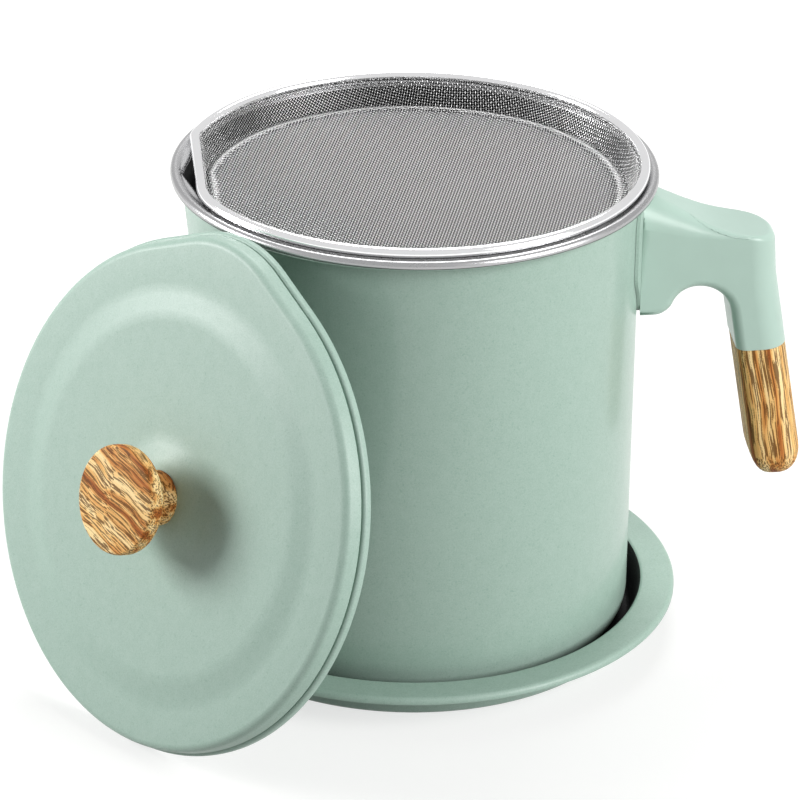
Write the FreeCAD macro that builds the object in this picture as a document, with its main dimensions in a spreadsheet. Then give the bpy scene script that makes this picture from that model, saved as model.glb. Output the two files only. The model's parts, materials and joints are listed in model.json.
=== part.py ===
"""Bacon grease container: a can with a side handle, a strainer, a drip tray and a lid that leans on it.

Millimetres. +Z is up, the pot's axis is the Z axis, and Z = 0 is the plane that the tray stands on.
The handle points along +X and the pour spout along -X.
"""
import FreeCAD, Part
import math
import os
import Sketcher
from FreeCAD import Placement, Rotation, Vector

doc = FreeCAD.newDocument("bacon_grease_container")

# Driving dimensions: alias, value in millimetres or degrees, meaning.
DIMENSIONS = (
    ("stack_gap", 0.3, "gap under each piece that is lifted out"),
    ("fit_gap", 0.05, "gap round each fixed insert, screw and seam"),
    ("tray_sheet", 0.8, "sheet thickness of the tray"),
    ("tray_play", 1.4, "gap between the pot's wall and the well at its floor"),
    ("tray_flare", 2.7, "outward flare of the well's side"),
    ("tray_flange", 10.6, "width of the tray's flange"),
    ("tray_height", 12.5, "height of the flange's top"),
    ("tray_bend", 1.6, "inside radius of the tray's bends"),
    ("tray_hem", 2.2, "height of the turned-down edge"),
    ("pot_sheet", 0.7, "sheet thickness of the pot"),
    ("pot_radius", 67.0, "outer radius of the pot's wall"),
    ("pot_height", 147.35, "height of the top of the rolled rim"),
    ("pot_corner", 10.0, "outer radius of the bottom corner"),
    ("ledge_drop", 0.75, "depth of the strainer's ledge below the rim"),
    ("ledge_bend", 1.5, "radius between the inner wall and the ledge"),
    ("curl_tube", 1.5, "tube radius of the rolled rim"),
    ("curl_reach", 3.7, "distance of the rolled rim's centre outside the wall"),
    ("spout_angle", 14.6, "half angle of the pour spout"),
    ("spout_depth", 13.0, "height of the pour spout below the ledge"),
    ("ring_tube", 1.6, "tube radius of the strainer's ring"),
    ("ring_cut", 3.7, "depth of the ring's straight side inside its circle"),
    ("ring_corner", 8.0, "centre-line radius of the ring's two corners"),
    ("basket_sheet", 0.6, "thickness of the woven basket"),
    ("basket_grip", 0.2, "depth of the basket's edge inside the ring"),
    ("basket_depth", 8.5, "depth of the basket's floor below the ring's centre"),
    ("basket_taper", 3.0, "inward taper of the basket's side"),
    ("grid_bar", 2.4, "bar between two of the floor's square openings"),
    ("grid_margin", 0.8, "border between the openings and the fold at the straight side"),
    ("bracket_sheet", 0.9, "sheet thickness of the handle bracket"),
    ("bracket_width", 44.0, "width of the bracket's upper part"),
    ("bracket_foot_width", 17.0, "width of the bracket's lower edge"),
    ("bracket_top_drop", 6.5, "bracket's top below the rim"),
    ("bracket_waist_drop", 31.0, "start of the bracket's taper below the rim"),
    ("bracket_margin", 0.3, "bracket's edges beyond the arm's top and inside its foot"),
    ("bracket_round", 8.0, "radius of the bracket's corners"),
    ("weld_gap", 0.1, "gap between the bracket and the wall it is welded to"),
    ("tab_sheet", 2.0, "thickness of the bracket's threaded tab"),
    ("tab_width", 11.0, "width of the tab"),
    ("tab_reach", 12.0, "length of the tab from the bracket"),
    ("tab_round", 2.5, "radius of the tab's corners"),
    ("tab_rise", 5.6, "height of the tab above the arm's foot"),
    ("arm_root_width", 24.0, "width of the arm at the bracket"),
    ("arm_end_width", 20.0, "width of the arm and grip at their outer face"),
    ("arm_overrun", 3.0, "length of the arm's blank inside the bracket's outer radius"),
    ("arm_sag_reach", 23.0, "distance of the sag from the bracket"),
    ("arm_sag_drop", 20.45, "sag of the arm's top below the rim"),
    ("arm_sag_round", 50.0, "radius of the sag"),
    ("arm_reach", 40.4, "outer top corner's distance from the bracket"),
    ("arm_end_drop", 23.15, "outer top corner below the rim"),
    ("shoulder_drop", 35.85, "start of the leaning leg below the rim"),
    ("shoulder_reach", 0.9, "leaning leg's start outside the top corner"),
    ("shoulder_round", 40.0, "radius of the shoulder"),
    ("leg_lean", 9.77, "lean of the leg from the vertical"),
    ("leg_depth", 16.05, "horizontal depth of the leg and grip"),
    ("leg_drop", 59.15, "joint of arm and grip below the rim"),
    ("foot_drop", 46.85, "arm's foot below the rim"),
    ("foot_reach", 7.5, "foot's length from the bracket"),
    ("foot_slope", 66.0, "slope between the foot and the arch"),
    ("slope_flat", 0.4, "straight stretch of that slope"),
    ("crown_rise", 8.8, "crown of the arch above the foot"),
    ("crown_flat", 0.3, "straight stretch of the crown"),
    ("crown_inner_round", 7.8, "radius of the arch beside the foot"),
    ("leg_outer_flat", 2.0, "flat between the two outer corners of arm and grip"),
    ("leg_inner_round", 3.0, "radius of the two inner corners of arm and grip"),
    ("arm_round_root", 9.5, "rounding of the arm's top edges at the bracket"),
    ("arm_round_leg", 1.3, "rounding of the arm's top edges at the leg"),
    ("arm_round_end", 3.0, "rounding of the arm's outer top corner"),
    ("grip_length", 47.2, "height of the grip"),
    ("grip_end_round", 7.4, "rounding of the grip's lower end"),
    ("thread_radius", 2.0, "radius of every screw and stud"),
    ("thread_chamfer", 0.5, "chamfer on the end of every screw and stud"),
    ("screw_hole", 2.25, "radius of a clearance hole"),
    ("head_rim", 0.7, "height of the straight rim of a screw head"),
    ("recess_reach", 1.9, "length of each arm of a head's cross recess"),
    ("recess_half", 0.45, "half width of the cross recess"),
    ("recess_depth", 1.1, "depth of the cross recess"),
    ("arm_head_radius", 3.5, "head radius of the arm's screw"),
    ("arm_head_height", 2.2, "head height of the arm's screw"),
    ("arm_head_sink", 0.6, "depth of the arm's screw head below the foot"),
    ("arm_screw_reach", 6.2, "arm's screw from the bracket"),
    ("arm_screw_tip", 2.0, "length of the arm's screw above the tab"),
    ("insert_radius", 3.4, "outer radius of every threaded insert"),
    ("insert_length", 9.0, "length of every threaded insert"),
    ("insert_sink", 0.3, "depth of each insert below the face it is let into"),
    ("insert_band", 3.6, "length of each insert's two outer bands"),
    ("insert_waist", 0.4, "depth of the waist round each insert"),
    ("stud_tip_gap", 0.8, "stud's ends short of the inserts' ends"),
    ("screw_tip_gap", 0.3, "knob's screw short of its insert's end"),
    ("lid_sheet", 0.7, "sheet thickness of the lid"),
    ("lid_clearance", 0.75, "gap between the closed lid's lip and the rolled rim"),
    ("lid_spout_rise", 3.65, "spout cover's tip beyond the round of the lid"),
    ("lid_spout_round", 39.5, "radius of the spout cover's tip"),
    ("lip_thickness", 1.9, "radial thickness of the rolled lip"),
    ("lip_height", 2.9, "height of the rolled lip"),
    ("groove_inset", 1.45, "groove above the lip, inside the lip's outline"),
    ("groove_width", 0.4, "height of the groove above the lip"),
    ("skirt_inset", 0.85, "skirt's lower end, inside the lip's outline"),
    ("shoulder_inset", 1.75, "skirt's upper end, inside the lip's outline"),
    ("shoulder_height", 8.5, "height of the lid's outer annulus"),
    ("lid_bend", 2.5, "outer radius between the skirt and the annulus"),
    ("panel_margin", 16.85, "width of the lid outside the step"),
    ("panel_step_width", 5.5, "radial width of the step"),
    ("panel_height", 9.9, "height at the top of the step"),
    ("boss_radius", 17.5, "outer radius of the boss under the knob"),
    ("boss_seat_radius", 9.5, "radius of the boss's flat seat"),
    ("boss_height", 11.4, "height of the boss's flat seat"),
    ("panel_bend", 3.0, "radius of the panel's bends"),
    ("lid_floor_gap", 0.2, "gap between the leaning lid and the floor"),
    ("lid_rim_gap", 0.3, "gap between the leaning lid and the rolled rim"),
    ("lid_tilt", 16.51, "rise of the lid's outward direction"),
    ("lid_azimuth", -142.24, "azimuth of the lid's outward direction"),
    ("lid_offset", 6.24, "sideways offset of the lid from the pot's axis"),
    ("lid_roll", 2.0, "roll of the lid's spout cover from its highest place"),
    ("washer_radius", 5.0, "outer radius of the knob's washer"),
    ("washer_sheet", 0.8, "thickness of the knob's washer"),
    ("knob_head_radius", 4.0, "head radius of the knob's screw"),
    ("knob_head_height", 2.4, "head height of the knob's screw"),
    ("collar_radius", 8.0, "radius of the knob's collar"),
    ("collar_height", 1.5, "height of the knob's collar"),
    ("neck_radius", 6.5, "radius of the knob's neck"),
    ("neck_start", 3.4, "lower end of the neck above the lid"),
    ("neck_end", 6.6, "upper end of the neck above the lid"),
    ("knob_radius", 15.8, "radius of the knob's head"),
    ("knob_under", 12.6, "underside of the knob's head at its edge"),
    ("knob_edge", 16.9, "height of the edge of the knob's face"),
    ("knob_height", 17.6, "height of the knob's face at its middle"),
    ("collar_round", 0.6, "rounding of the collar's edge"),
    ("neck_foot_round", 1.2, "radius between the collar and the neck"),
    ("neck_head_round", 3.5, "radius between the neck and the head"),
    ("knob_under_round", 1.6, "rounding of the head's lower edge"),
    ("knob_face_round", 1.2, "rounding round the knob's face"),
)

dims = doc.addObject("Spreadsheet::Sheet", "dims")
for row, (alias, value, meaning) in enumerate(DIMENSIONS, start=1):
    dims.set(f"A{row}", meaning)
    dims.set(f"B{row}", str(value))
    dims.setAlias(f"B{row}", alias)
doc.recompute()

# Places that several pieces share, as expressions on the sheet.
TRAY_FOOT = "(dims.pot_radius + dims.tray_play)"
TRAY_MOUTH = f"({TRAY_FOOT} + dims.tray_flare)"
TRAY_RADIUS = f"({TRAY_MOUTH} + dims.tray_flange)"
CURL_RADIUS = "(dims.pot_radius + dims.curl_reach)"
CURL_HEIGHT = "(dims.pot_height - dims.curl_tube)"
LEDGE_HEIGHT = "(dims.pot_height - dims.ledge_drop)"
POT_BASE = "(dims.tray_sheet + dims.stack_gap)"
POT_INNER = "(dims.pot_radius - dims.pot_sheet)"
RING_RADIUS = f"({POT_INNER} + dims.ring_tube)"
RING_HEIGHT = f"({LEDGE_HEIGHT} + dims.stack_gap + dims.ring_tube)"
RING_FLAT = f"({RING_RADIUS} - dims.ring_cut)"
BASKET_EDGE_INSET = "(dims.ring_tube - dims.basket_grip)"
BASKET_INSET = f"({BASKET_EDGE_INSET} + dims.basket_taper)"
BASKET_FLOOR = f"({RING_HEIGHT} - dims.basket_depth)"
# The floor's grid has this many openings across, and their centres lie inside a circle of this
# radius, counted in steps of the grid.
GRID_ROWS = 12
GRID_REACH = 5.85
GRID_PITCH = (
    f"((2 * ({RING_FLAT} - {BASKET_INSET} - dims.basket_sheet - dims.grid_margin) + dims.grid_bar)"
    f" / {GRID_ROWS})"
)
BRACKET_INNER = "(dims.pot_radius + dims.weld_gap)"
BRACKET_TOP = "(dims.pot_height - dims.bracket_top_drop)"
ARM_ROOT = f"({BRACKET_INNER} + dims.bracket_sheet)"
ARM_FOOT = "(dims.pot_height - dims.foot_drop)"
CROWN_HEIGHT = f"({ARM_FOOT} + dims.crown_rise)"
CROWN_START = f"({ARM_ROOT} + dims.foot_reach + dims.crown_rise / tan(dims.foot_slope * 1 deg))"
LEG_HEIGHT = "(dims.pot_height - dims.leg_drop)"
LEG_OUTER = (
    f"({ARM_ROOT} + dims.arm_reach + dims.shoulder_reach"
    " + (dims.leg_drop - dims.shoulder_drop) * tan(dims.leg_lean * 1 deg))"
)
LEG_INNER = f"({LEG_OUTER} - dims.leg_depth)"
LEG_ROUND = "((dims.arm_end_width - dims.leg_outer_flat) / 2)"
CROWN_END = f"({LEG_INNER} - ({CROWN_HEIGHT} - {LEG_HEIGHT}) * tan(dims.leg_lean * 1 deg))"
SLOPE_TURN = "tan(dims.foot_slope * 0.5 deg)"
FOOT_ROUND = (
    f"((dims.crown_rise / sin(dims.foot_slope * 1 deg) - dims.slope_flat) / {SLOPE_TURN}"
    " - dims.crown_inner_round)"
)
CROWN_OUTER_ROUND = (
    f"(({CROWN_END} - {CROWN_START} - dims.crown_flat - dims.crown_inner_round * {SLOPE_TURN})"
    " / tan(45 deg - dims.leg_lean * 0.5 deg))"
)
STUD_REACH = f"(({LEG_INNER} + {LEG_OUTER}) / 2)"
STUD_HALF = "(dims.insert_sink + dims.insert_length - dims.stud_tip_gap)"
SCREW_REACH = f"({ARM_ROOT} + dims.arm_screw_reach)"
TAB_UNDER = f"({ARM_FOOT} + dims.tab_rise)"
HEAD_SEAT = f"({ARM_FOOT} + dims.arm_head_sink + dims.arm_head_height)"
THREAD_HOLE = "(dims.thread_radius + dims.fit_gap)"
INSERT_HOLE = "(dims.insert_radius + dims.fit_gap)"
LID_RADIUS = f"({CURL_RADIUS} + dims.curl_tube + dims.lid_clearance + dims.lip_thickness)"
LIP_HALF = "(dims.lip_thickness / 2)"
GROOVE_TOP = "(dims.lip_height + dims.groove_width)"
SHOULDER_UNDER = "(dims.shoulder_height - dims.lid_sheet)"
PANEL_RADIUS = f"({LID_RADIUS} - dims.panel_margin)"
PANEL_INNER = f"({PANEL_RADIUS} - dims.panel_step_width)"
PANEL_UNDER = "(dims.panel_height - dims.lid_sheet)"
SEAT_UNDER = "(dims.boss_height - dims.lid_sheet)"
ACROSS_ARM = "2 * dims.arm_root_width"


def size(text):
    """Return the number that an expression on the sheet stands for."""
    return float(dims.evalExpression(text))


def new_body(name):
    """Start a body whose Label names the piece."""
    body = doc.addObject("PartDesign::Body", name)
    body.Label = name
    return body


def new_sketch(body, name, role, height=None):
    """Attach a sketch to one of the body's origin planes, raised along the plane's normal."""
    sketch = body.newObject("Sketcher::SketchObject", name)
    plane = [item for item in body.Origin.OriginFeatures if item.Role == role][0]
    sketch.AttachmentSupport = (plane, "")
    sketch.MapMode = "FlatFace"
    if height is not None:
        sketch.setExpression(".AttachmentOffset.Base.z", height)
    return sketch


def fix(sketch, kind, first, second, text):
    """Add a named dimension between two references and bind it to an expression."""
    index = sketch.addConstraint(Sketcher.Constraint(kind, *first, *second, size(text)))
    name = f"size_{index}"
    sketch.renameConstraint(index, name)
    sketch.setExpression(f"Constraints.{name}", text)


def fix_radius(sketch, arc, text):
    """Bind the radius of an arc or circle to an expression."""
    fix(sketch, "Radius", (arc,), (), text)


def fix_point(sketch, geometry, position, across, up):
    """Hold a point of the sketch at a place given by two expressions; "0" holds it on an axis."""
    origin = (-1, 1)
    if across == "0":
        sketch.addConstraint(Sketcher.Constraint("PointOnObject", geometry, position, -2))
    else:
        fix(sketch, "DistanceX", origin, (geometry, position), across)
    if up == "0":
        sketch.addConstraint(Sketcher.Constraint("PointOnObject", geometry, position, -1))
    else:
        fix(sketch, "DistanceY", origin, (geometry, position), up)


class Corner:
    """A corner of an outline, with an optional rounding or an arc that leads to the next corner."""

    def __init__(self, across, up, rounding=None, arc=None, middle=None):
        self.across = across
        self.up = up
        self.rounding = rounding
        self.arc = arc
        self.middle = middle

    def point(self):
        """Return the corner's place as a vector."""
        return Vector(size(self.across), size(self.up), 0)


class Piece:
    """A line or an arc of an outline, with the positions of its first and last point."""

    def __init__(self, sketch, start, end, middle=None):
        if middle is None:
            self.index = sketch.addGeometry(Part.LineSegment(start, end))
            self.first, self.last = 1, 2
            return
        self.index = sketch.addGeometry(Part.Arc(start, middle, end))
        forward = sketch.getPoint(self.index, 1).distanceToPoint(start) < 1e-5
        self.first, self.last = (1, 2) if forward else (2, 1)


def draw_outline(sketch, corners):
    """Draw a closed outline through the corners; roundings are arcs tangent to both sides."""
    count = len(corners)
    points = [corner.point() for corner in corners]
    entries, exits = list(points), list(points)
    for i, corner in enumerate(corners):
        if corner.rounding is None:
            continue
        before = (points[i - 1] - points[i]).normalize()
        after = (points[(i + 1) % count] - points[i]).normalize()
        reach = size(corner.rounding) / math.tan(before.getAngle(after) / 2)
        entries[i] = points[i] + before * reach
        exits[i] = points[i] + after * reach
    sides = []
    for i, corner in enumerate(corners):
        side = Piece(sketch, exits[i], entries[(i + 1) % count], corner.middle and corner.middle())
        if corner.arc is not None:
            fix_radius(sketch, side.index, corner.arc)
        sides.append(side)
    for i, corner in enumerate(corners):
        before, after = sides[i - 1], sides[i]
        if corner.rounding is None:
            sketch.addConstraint(
                Sketcher.Constraint("Coincident", before.index, before.last, after.index, after.first)
            )
            fix_point(sketch, after.index, after.first, corner.across, corner.up)
            continue
        inward = (entries[i] + exits[i]) / 2 - points[i]
        half = inward.Length
        spread = (exits[i] - entries[i]).Length / 2
        radius = size(corner.rounding)
        middle = points[i] + inward * ((math.hypot(radius, math.hypot(half, spread)) - radius) / half)
        arc = Piece(sketch, entries[i], exits[i], middle)
        mark = sketch.addGeometry(Part.Point(points[i]), True)
        fix_point(sketch, mark, 1, corner.across, corner.up)
        sketch.addConstraint([
            Sketcher.Constraint("PointOnObject", mark, 1, before.index),
            Sketcher.Constraint("PointOnObject", mark, 1, after.index),
            Sketcher.Constraint("Tangent", before.index, before.last, arc.index, arc.first),
            Sketcher.Constraint("Tangent", arc.index, arc.last, after.index, after.first),
        ])
        fix_radius(sketch, arc.index, corner.rounding)


def draw_circle(sketch, across, up, radius):
    """Draw a circle held by three expressions."""
    centre = Vector(size(across), size(up), 0)
    circle = sketch.addGeometry(Part.Circle(centre, Vector(0, 0, 1), size(radius)))
    fix_point(sketch, circle, 3, across, up)
    fix_radius(sketch, circle, radius)


def polar(radius, angle):
    """Return the point of the sketch plane at a radius and an angle in radians."""
    return Vector(radius * math.cos(angle), radius * math.sin(angle), 0)


def draw_belt(sketch, radius, tip_centre, tip_radius):
    """Draw a circle about the origin that runs out along two tangents to a round tip on +X."""
    big, small, centre = size(radius), size(tip_radius), size(tip_centre)
    angle = math.acos((big - small) / centre)
    shift = Vector(centre, 0, 0)
    arc = sketch.addGeometry(Part.Arc(polar(big, angle), polar(big, math.pi), polar(big, -angle)))
    tip = sketch.addGeometry(
        Part.Arc(shift + polar(small, -angle), shift + polar(small, 0), shift + polar(small, angle))
    )
    lower = sketch.addGeometry(Part.LineSegment(polar(big, -angle), shift + polar(small, -angle)))
    upper = sketch.addGeometry(Part.LineSegment(shift + polar(small, angle), polar(big, angle)))
    sketch.addConstraint([
        Sketcher.Constraint("Coincident", arc, 3, -1, 1),
        Sketcher.Constraint("Tangent", arc, 2, lower, 1),
        Sketcher.Constraint("Tangent", lower, 2, tip, 1),
        Sketcher.Constraint("Tangent", tip, 2, upper, 1),
        Sketcher.Constraint("Tangent", upper, 2, arc, 1),
    ])
    fix_radius(sketch, arc, radius)
    fix_radius(sketch, tip, tip_radius)
    fix_point(sketch, tip, 3, tip_centre, "0")


def draw_flat_ring(sketch, radius, flat, corner):
    """Draw a circle about the origin with one straight side across -X and two round corners."""
    big, small, edge = size(radius), size(corner), size(flat)
    centre = Vector(small - edge, math.sqrt((big - small) ** 2 - (edge - small) ** 2), 0)
    angle = math.atan2(centre.y, centre.x)
    mirror = Vector(centre.x, -centre.y, 0)
    arc = sketch.addGeometry(Part.Arc(polar(big, -angle), polar(big, 0), polar(big, angle)))
    middle = (math.pi + angle) / 2
    upper = sketch.addGeometry(
        Part.Arc(polar(big, angle), centre + polar(small, middle), centre + polar(small, math.pi))
    )
    lower = sketch.addGeometry(
        Part.Arc(mirror + polar(small, math.pi), mirror + polar(small, -middle), polar(big, -angle))
    )
    side = sketch.addGeometry(
        Part.LineSegment(centre + polar(small, math.pi), mirror + polar(small, math.pi))
    )
    sketch.addConstraint([
        Sketcher.Constraint("Coincident", arc, 3, -1, 1),
        Sketcher.Constraint("Tangent", arc, 2, upper, 1),
        Sketcher.Constraint("Tangent", upper, 2, side, 1),
        Sketcher.Constraint("Tangent", side, 2, lower, 1),
        Sketcher.Constraint("Tangent", lower, 2, arc, 1),
        Sketcher.Constraint("Vertical", side),
    ])
    fix_radius(sketch, arc, radius)
    fix_radius(sketch, upper, corner)
    fix_radius(sketch, lower, corner)
    fix(sketch, "DistanceX", (side, 1), (-1, 1), flat)


def revolve(body, name, corners, cut=False):
    """Turn an outline of (radius, height) corners about the body's Z axis."""
    sketch = new_sketch(body, f"{name}_outline", "XZ_Plane")
    draw_outline(sketch, corners)
    feature = body.newObject("PartDesign::Groove" if cut else "PartDesign::Revolution", name)
    feature.Profile = sketch
    feature.ReferenceAxis = (sketch, ["V_Axis"])
    feature.Angle = 360
    doc.recompute()
    return feature


def extrude(body, name, sketch, length, cut=False, reverse=False, symmetric=False):
    """Pad or pocket a sketch along its normal, or the other way if reversed."""
    feature = body.newObject("PartDesign::Pocket" if cut else "PartDesign::Pad", name)
    feature.Profile = sketch
    feature.setExpression("Length", length)
    feature.Reversed = reverse
    if symmetric:
        feature.SideType = "Symmetric"
    doc.recompute()
    return feature


def loft(body, name, sketches, cut=False):
    """Join two sketches with straight sides, as added or removed material."""
    feature = body.newObject("PartDesign::SubtractiveLoft" if cut else "PartDesign::AdditiveLoft", name)
    feature.Profile = sketches[0]
    feature.Sections = sketches[1:]
    feature.Ruled = True
    doc.recompute()
    return feature


def pipe(body, name, profile, path):
    """Carry a closed profile along a closed path."""
    feature = body.newObject("PartDesign::AdditivePipe", name)
    feature.Profile = profile
    feature.Spine = path
    feature.Mode = "Frenet"
    doc.recompute()
    return feature


def edges_where(feature, test):
    """Name the edges of a feature whose end points and middle pass a test."""
    names = []
    for number, edge in enumerate(feature.Shape.Edges, start=1):
        middle = edge.valueAt((edge.FirstParameter + edge.LastParameter) / 2)
        if test([vertex.Point for vertex in edge.Vertexes], middle):
            names.append(f"Edge{number}")
    return names


def round_edges(body, name, feature, test, radius):
    """Fillet the edges of the last feature that pass a test."""
    fillet = body.newObject("PartDesign::Fillet", name)
    fillet.Base = (feature, edges_where(feature, test))
    fillet.setExpression("Radius", radius)
    doc.recompute()
    return fillet


def make_tray():
    """Round tray: a shallow well, a wide flange and a turned-down edge, all of one sheet."""
    body = new_body("tray")
    bend, sheet = "dims.tray_bend", "dims.tray_sheet"
    under = "(dims.tray_height - dims.tray_sheet)"
    hem = "(dims.tray_height - dims.tray_hem)"
    revolve(body, "tray_shell", [
        Corner("0", "0"),
        Corner(f"{TRAY_FOOT} + {sheet}", "0", f"{bend} + {sheet}"),
        Corner(f"{TRAY_MOUTH} + {sheet}", under, f"{bend} - {sheet}"),
        Corner(f"{TRAY_RADIUS} - {sheet}", under, f"{bend} - {sheet}"),
        Corner(f"{TRAY_RADIUS} - {sheet}", hem),
        Corner(TRAY_RADIUS, hem),
        Corner(TRAY_RADIUS, "dims.tray_height", bend),
        Corner(TRAY_MOUTH, "dims.tray_height", bend),
        Corner(TRAY_FOOT, sheet, bend),
        Corner("0", sheet),
    ])
    return body


def make_pot_body():
    """Drawn can: flat base with a round corner, straight wall, ledge, rolled rim and pour spout."""
    body = new_body("pot_body")
    sheet = "dims.pot_sheet"
    underside = f"({LEDGE_HEIGHT} - {sheet})"

    def curl_edge(height):
        return f"{CURL_RADIUS} - sqrt(dims.curl_tube ^ 2 - ({height} - {CURL_HEIGHT}) ^ 2)"

    def curl_outside():
        return Vector(size(f"{CURL_RADIUS} + dims.curl_tube"), size(CURL_HEIGHT), 0)

    revolve(body, "pot_blank", [
        Corner("0", POT_BASE),
        Corner("dims.pot_radius", POT_BASE, "dims.pot_corner"),
        Corner("dims.pot_radius", underside, "dims.ledge_bend - dims.pot_sheet"),
        Corner(curl_edge(underside), underside, arc="dims.curl_tube", middle=curl_outside),
        Corner(curl_edge(LEDGE_HEIGHT), LEDGE_HEIGHT),
        Corner("0", LEDGE_HEIGHT),
    ])
    loft_spout(body, "spout_skin", "dims.pot_radius")
    cavity = revolve(body, "pot_cavity", [
        Corner("0", f"{POT_BASE} + {sheet}"),
        Corner(POT_INNER, f"{POT_BASE} + {sheet}", f"dims.pot_corner - {sheet}"),
        Corner(POT_INNER, LEDGE_HEIGHT),
        Corner("0", LEDGE_HEIGHT),
    ], cut=True)
    round_edges(body, "ledge_rounding", cavity, is_ledge_edge, "dims.ledge_bend")
    loft_spout(body, "spout_channel", POT_INNER, cut=True)
    return body


def loft_spout(body, name, wall, cut=False):
    """Widen the wall at the given radius into a pointed spout between two tangent flats."""
    sections = []
    for part, height, tip in (
        ("foot", f"{LEDGE_HEIGHT} - dims.spout_depth", wall),
        ("mouth", LEDGE_HEIGHT, f"({wall}) / cos(dims.spout_angle * 1 deg)"),
    ):
        sketch = new_sketch(body, f"{name}_{part}", "XY_Plane", height)
        across = f"-({wall}) * cos(dims.spout_angle * 1 deg)"
        aside = f"({wall}) * sin(dims.spout_angle * 1 deg)"
        draw_outline(sketch, [
            Corner(across, f"-{aside}"),
            Corner(across, aside),
            Corner(f"-({tip})", "0"),
        ])
        sections.append(sketch)
    loft(body, name, sections, cut)


def is_ledge_edge(ends, middle):
    """Tell whether an edge is the circle between the pot's inner wall and its ledge."""
    at_wall = abs(math.hypot(middle.x, middle.y) - size(POT_INNER)) < 1e-3
    return at_wall and abs(middle.z - size(LEDGE_HEIGHT)) < 1e-3


def make_strainer_rim():
    """Rolled ring with one straight side, seated on the pot's ledge."""
    body = new_body("strainer_rim")
    path = new_sketch(body, "rim_path", "XY_Plane", RING_HEIGHT)
    draw_flat_ring(path, RING_RADIUS, RING_FLAT, "dims.ring_corner")
    profile = new_sketch(body, "rim_profile", "XZ_Plane")
    draw_circle(profile, RING_RADIUS, RING_HEIGHT, "dims.ring_tube")
    pipe(body, "rim_tube", profile, path)
    return body


def make_floor_openings():
    """Make the floor's square openings, where strips along X cross strips along Y."""
    opening = f"({GRID_PITCH} - dims.grid_bar)"
    directions = []
    for along, across, length, width in (("x", "y", "Length", "Width"), ("y", "x", "Width", "Length")):
        strips = []
        for row in range(GRID_ROWS):
            offset = row - (GRID_ROWS - 1) / 2
            squares = math.floor(math.sqrt(GRID_REACH**2 - offset**2) + 0.5)
            strip = doc.addObject("Part::Box", f"grid_strip_{along}_{row}")
            strip.setExpression(length, f"2 * {squares} * {GRID_PITCH}")
            strip.setExpression(width, opening)
            strip.setExpression("Height", "3 * dims.basket_sheet")
            strip.setExpression(f".Placement.Base.{along}", f"-{squares} * {GRID_PITCH}")
            strip.setExpression(f".Placement.Base.{across}", f"{offset} * {GRID_PITCH} - {opening} / 2")
            strip.setExpression(".Placement.Base.z", f"{BASKET_FLOOR} - dims.basket_sheet")
            strips.append(strip)
        direction = doc.addObject("Part::Compound", f"grid_strips_{along}")
        direction.Links = strips
        directions.append(direction)
    openings = doc.addObject("Part::MultiCommon", "floor_openings")
    openings.Shapes = directions
    return openings


def make_strainer_mesh():
    """Shallow basket with an open grid as its flat floor, its upper edge held in the rim."""
    body = new_body("basket_blank")

    def sections(name, wall, low, high):
        sketches = []
        for part, height, inset in (("floor", low, BASKET_INSET), ("edge", high, BASKET_EDGE_INSET)):
            sketch = new_sketch(body, f"{name}_{part}", "XY_Plane", height)
            draw_flat_ring(
                sketch,
                f"{RING_RADIUS} - {inset} - {wall}",
                f"{RING_FLAT} - {inset} - {wall}",
                f"dims.ring_corner - {BASKET_EDGE_INSET}",
            )
            sketches.append(sketch)
        return sketches

    loft(body, "basket_outside", sections("outside", "0", BASKET_FLOOR, RING_HEIGHT))
    loft(
        body, "basket_inside",
        sections("inside", "dims.basket_sheet", f"{BASKET_FLOOR} + dims.basket_sheet", RING_HEIGHT),
        cut=True,
    )
    basket = doc.addObject("Part::Cut", "strainer_mesh")
    basket.Base = body
    basket.Tool = make_floor_openings()
    basket.Label = "strainer_mesh"
    doc.recompute()
    return basket


def make_handle_bracket():
    """Curved shield that lies on the pot's wall, with a threaded tab that enters the arm."""
    body = new_body("handle_bracket")
    waist = "dims.pot_height - dims.bracket_waist_drop"
    foot = f"{ARM_FOOT} + dims.bracket_margin"
    half, foot_half = "dims.bracket_width / 2", "dims.bracket_foot_width / 2"
    sketch = new_sketch(body, "shield_outline", "YZ_Plane")
    draw_outline(sketch, [
        Corner(f"-{foot_half}", foot, "dims.bracket_round"),
        Corner(foot_half, foot, "dims.bracket_round"),
        Corner(half, waist, "dims.bracket_round"),
        Corner(half, BRACKET_TOP, "dims.bracket_round"),
        Corner(f"-{half}", BRACKET_TOP, "dims.bracket_round"),
        Corner(f"-{half}", waist, "dims.bracket_round"),
    ])
    extrude(body, "shield_blank", sketch, f"{ARM_ROOT} + dims.bracket_sheet")
    for name, inner, outer in (
        ("shield_back", "0", BRACKET_INNER),
        ("shield_face", ARM_ROOT, f"{ARM_ROOT} + dims.bracket_width"),
    ):
        revolve(body, name, [
            Corner(inner, "0"),
            Corner(outer, "0"),
            Corner(outer, "dims.pot_height"),
            Corner(inner, "dims.pot_height"),
        ], cut=True)
    tab = new_sketch(body, "tab_outline", "XY_Plane", TAB_UNDER)
    inner_end = f"{BRACKET_INNER} + dims.bracket_sheet / 2"
    tab_end = f"{ARM_ROOT} + dims.tab_reach"
    draw_outline(tab, [
        Corner(inner_end, "-dims.tab_width / 2"),
        Corner(tab_end, "-dims.tab_width / 2", "dims.tab_round"),
        Corner(tab_end, "dims.tab_width / 2", "dims.tab_round"),
        Corner(inner_end, "dims.tab_width / 2"),
    ])
    draw_circle(tab, SCREW_REACH, "0", THREAD_HOLE)
    extrude(body, "threaded_tab", tab, "dims.tab_sheet")
    return body


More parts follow.
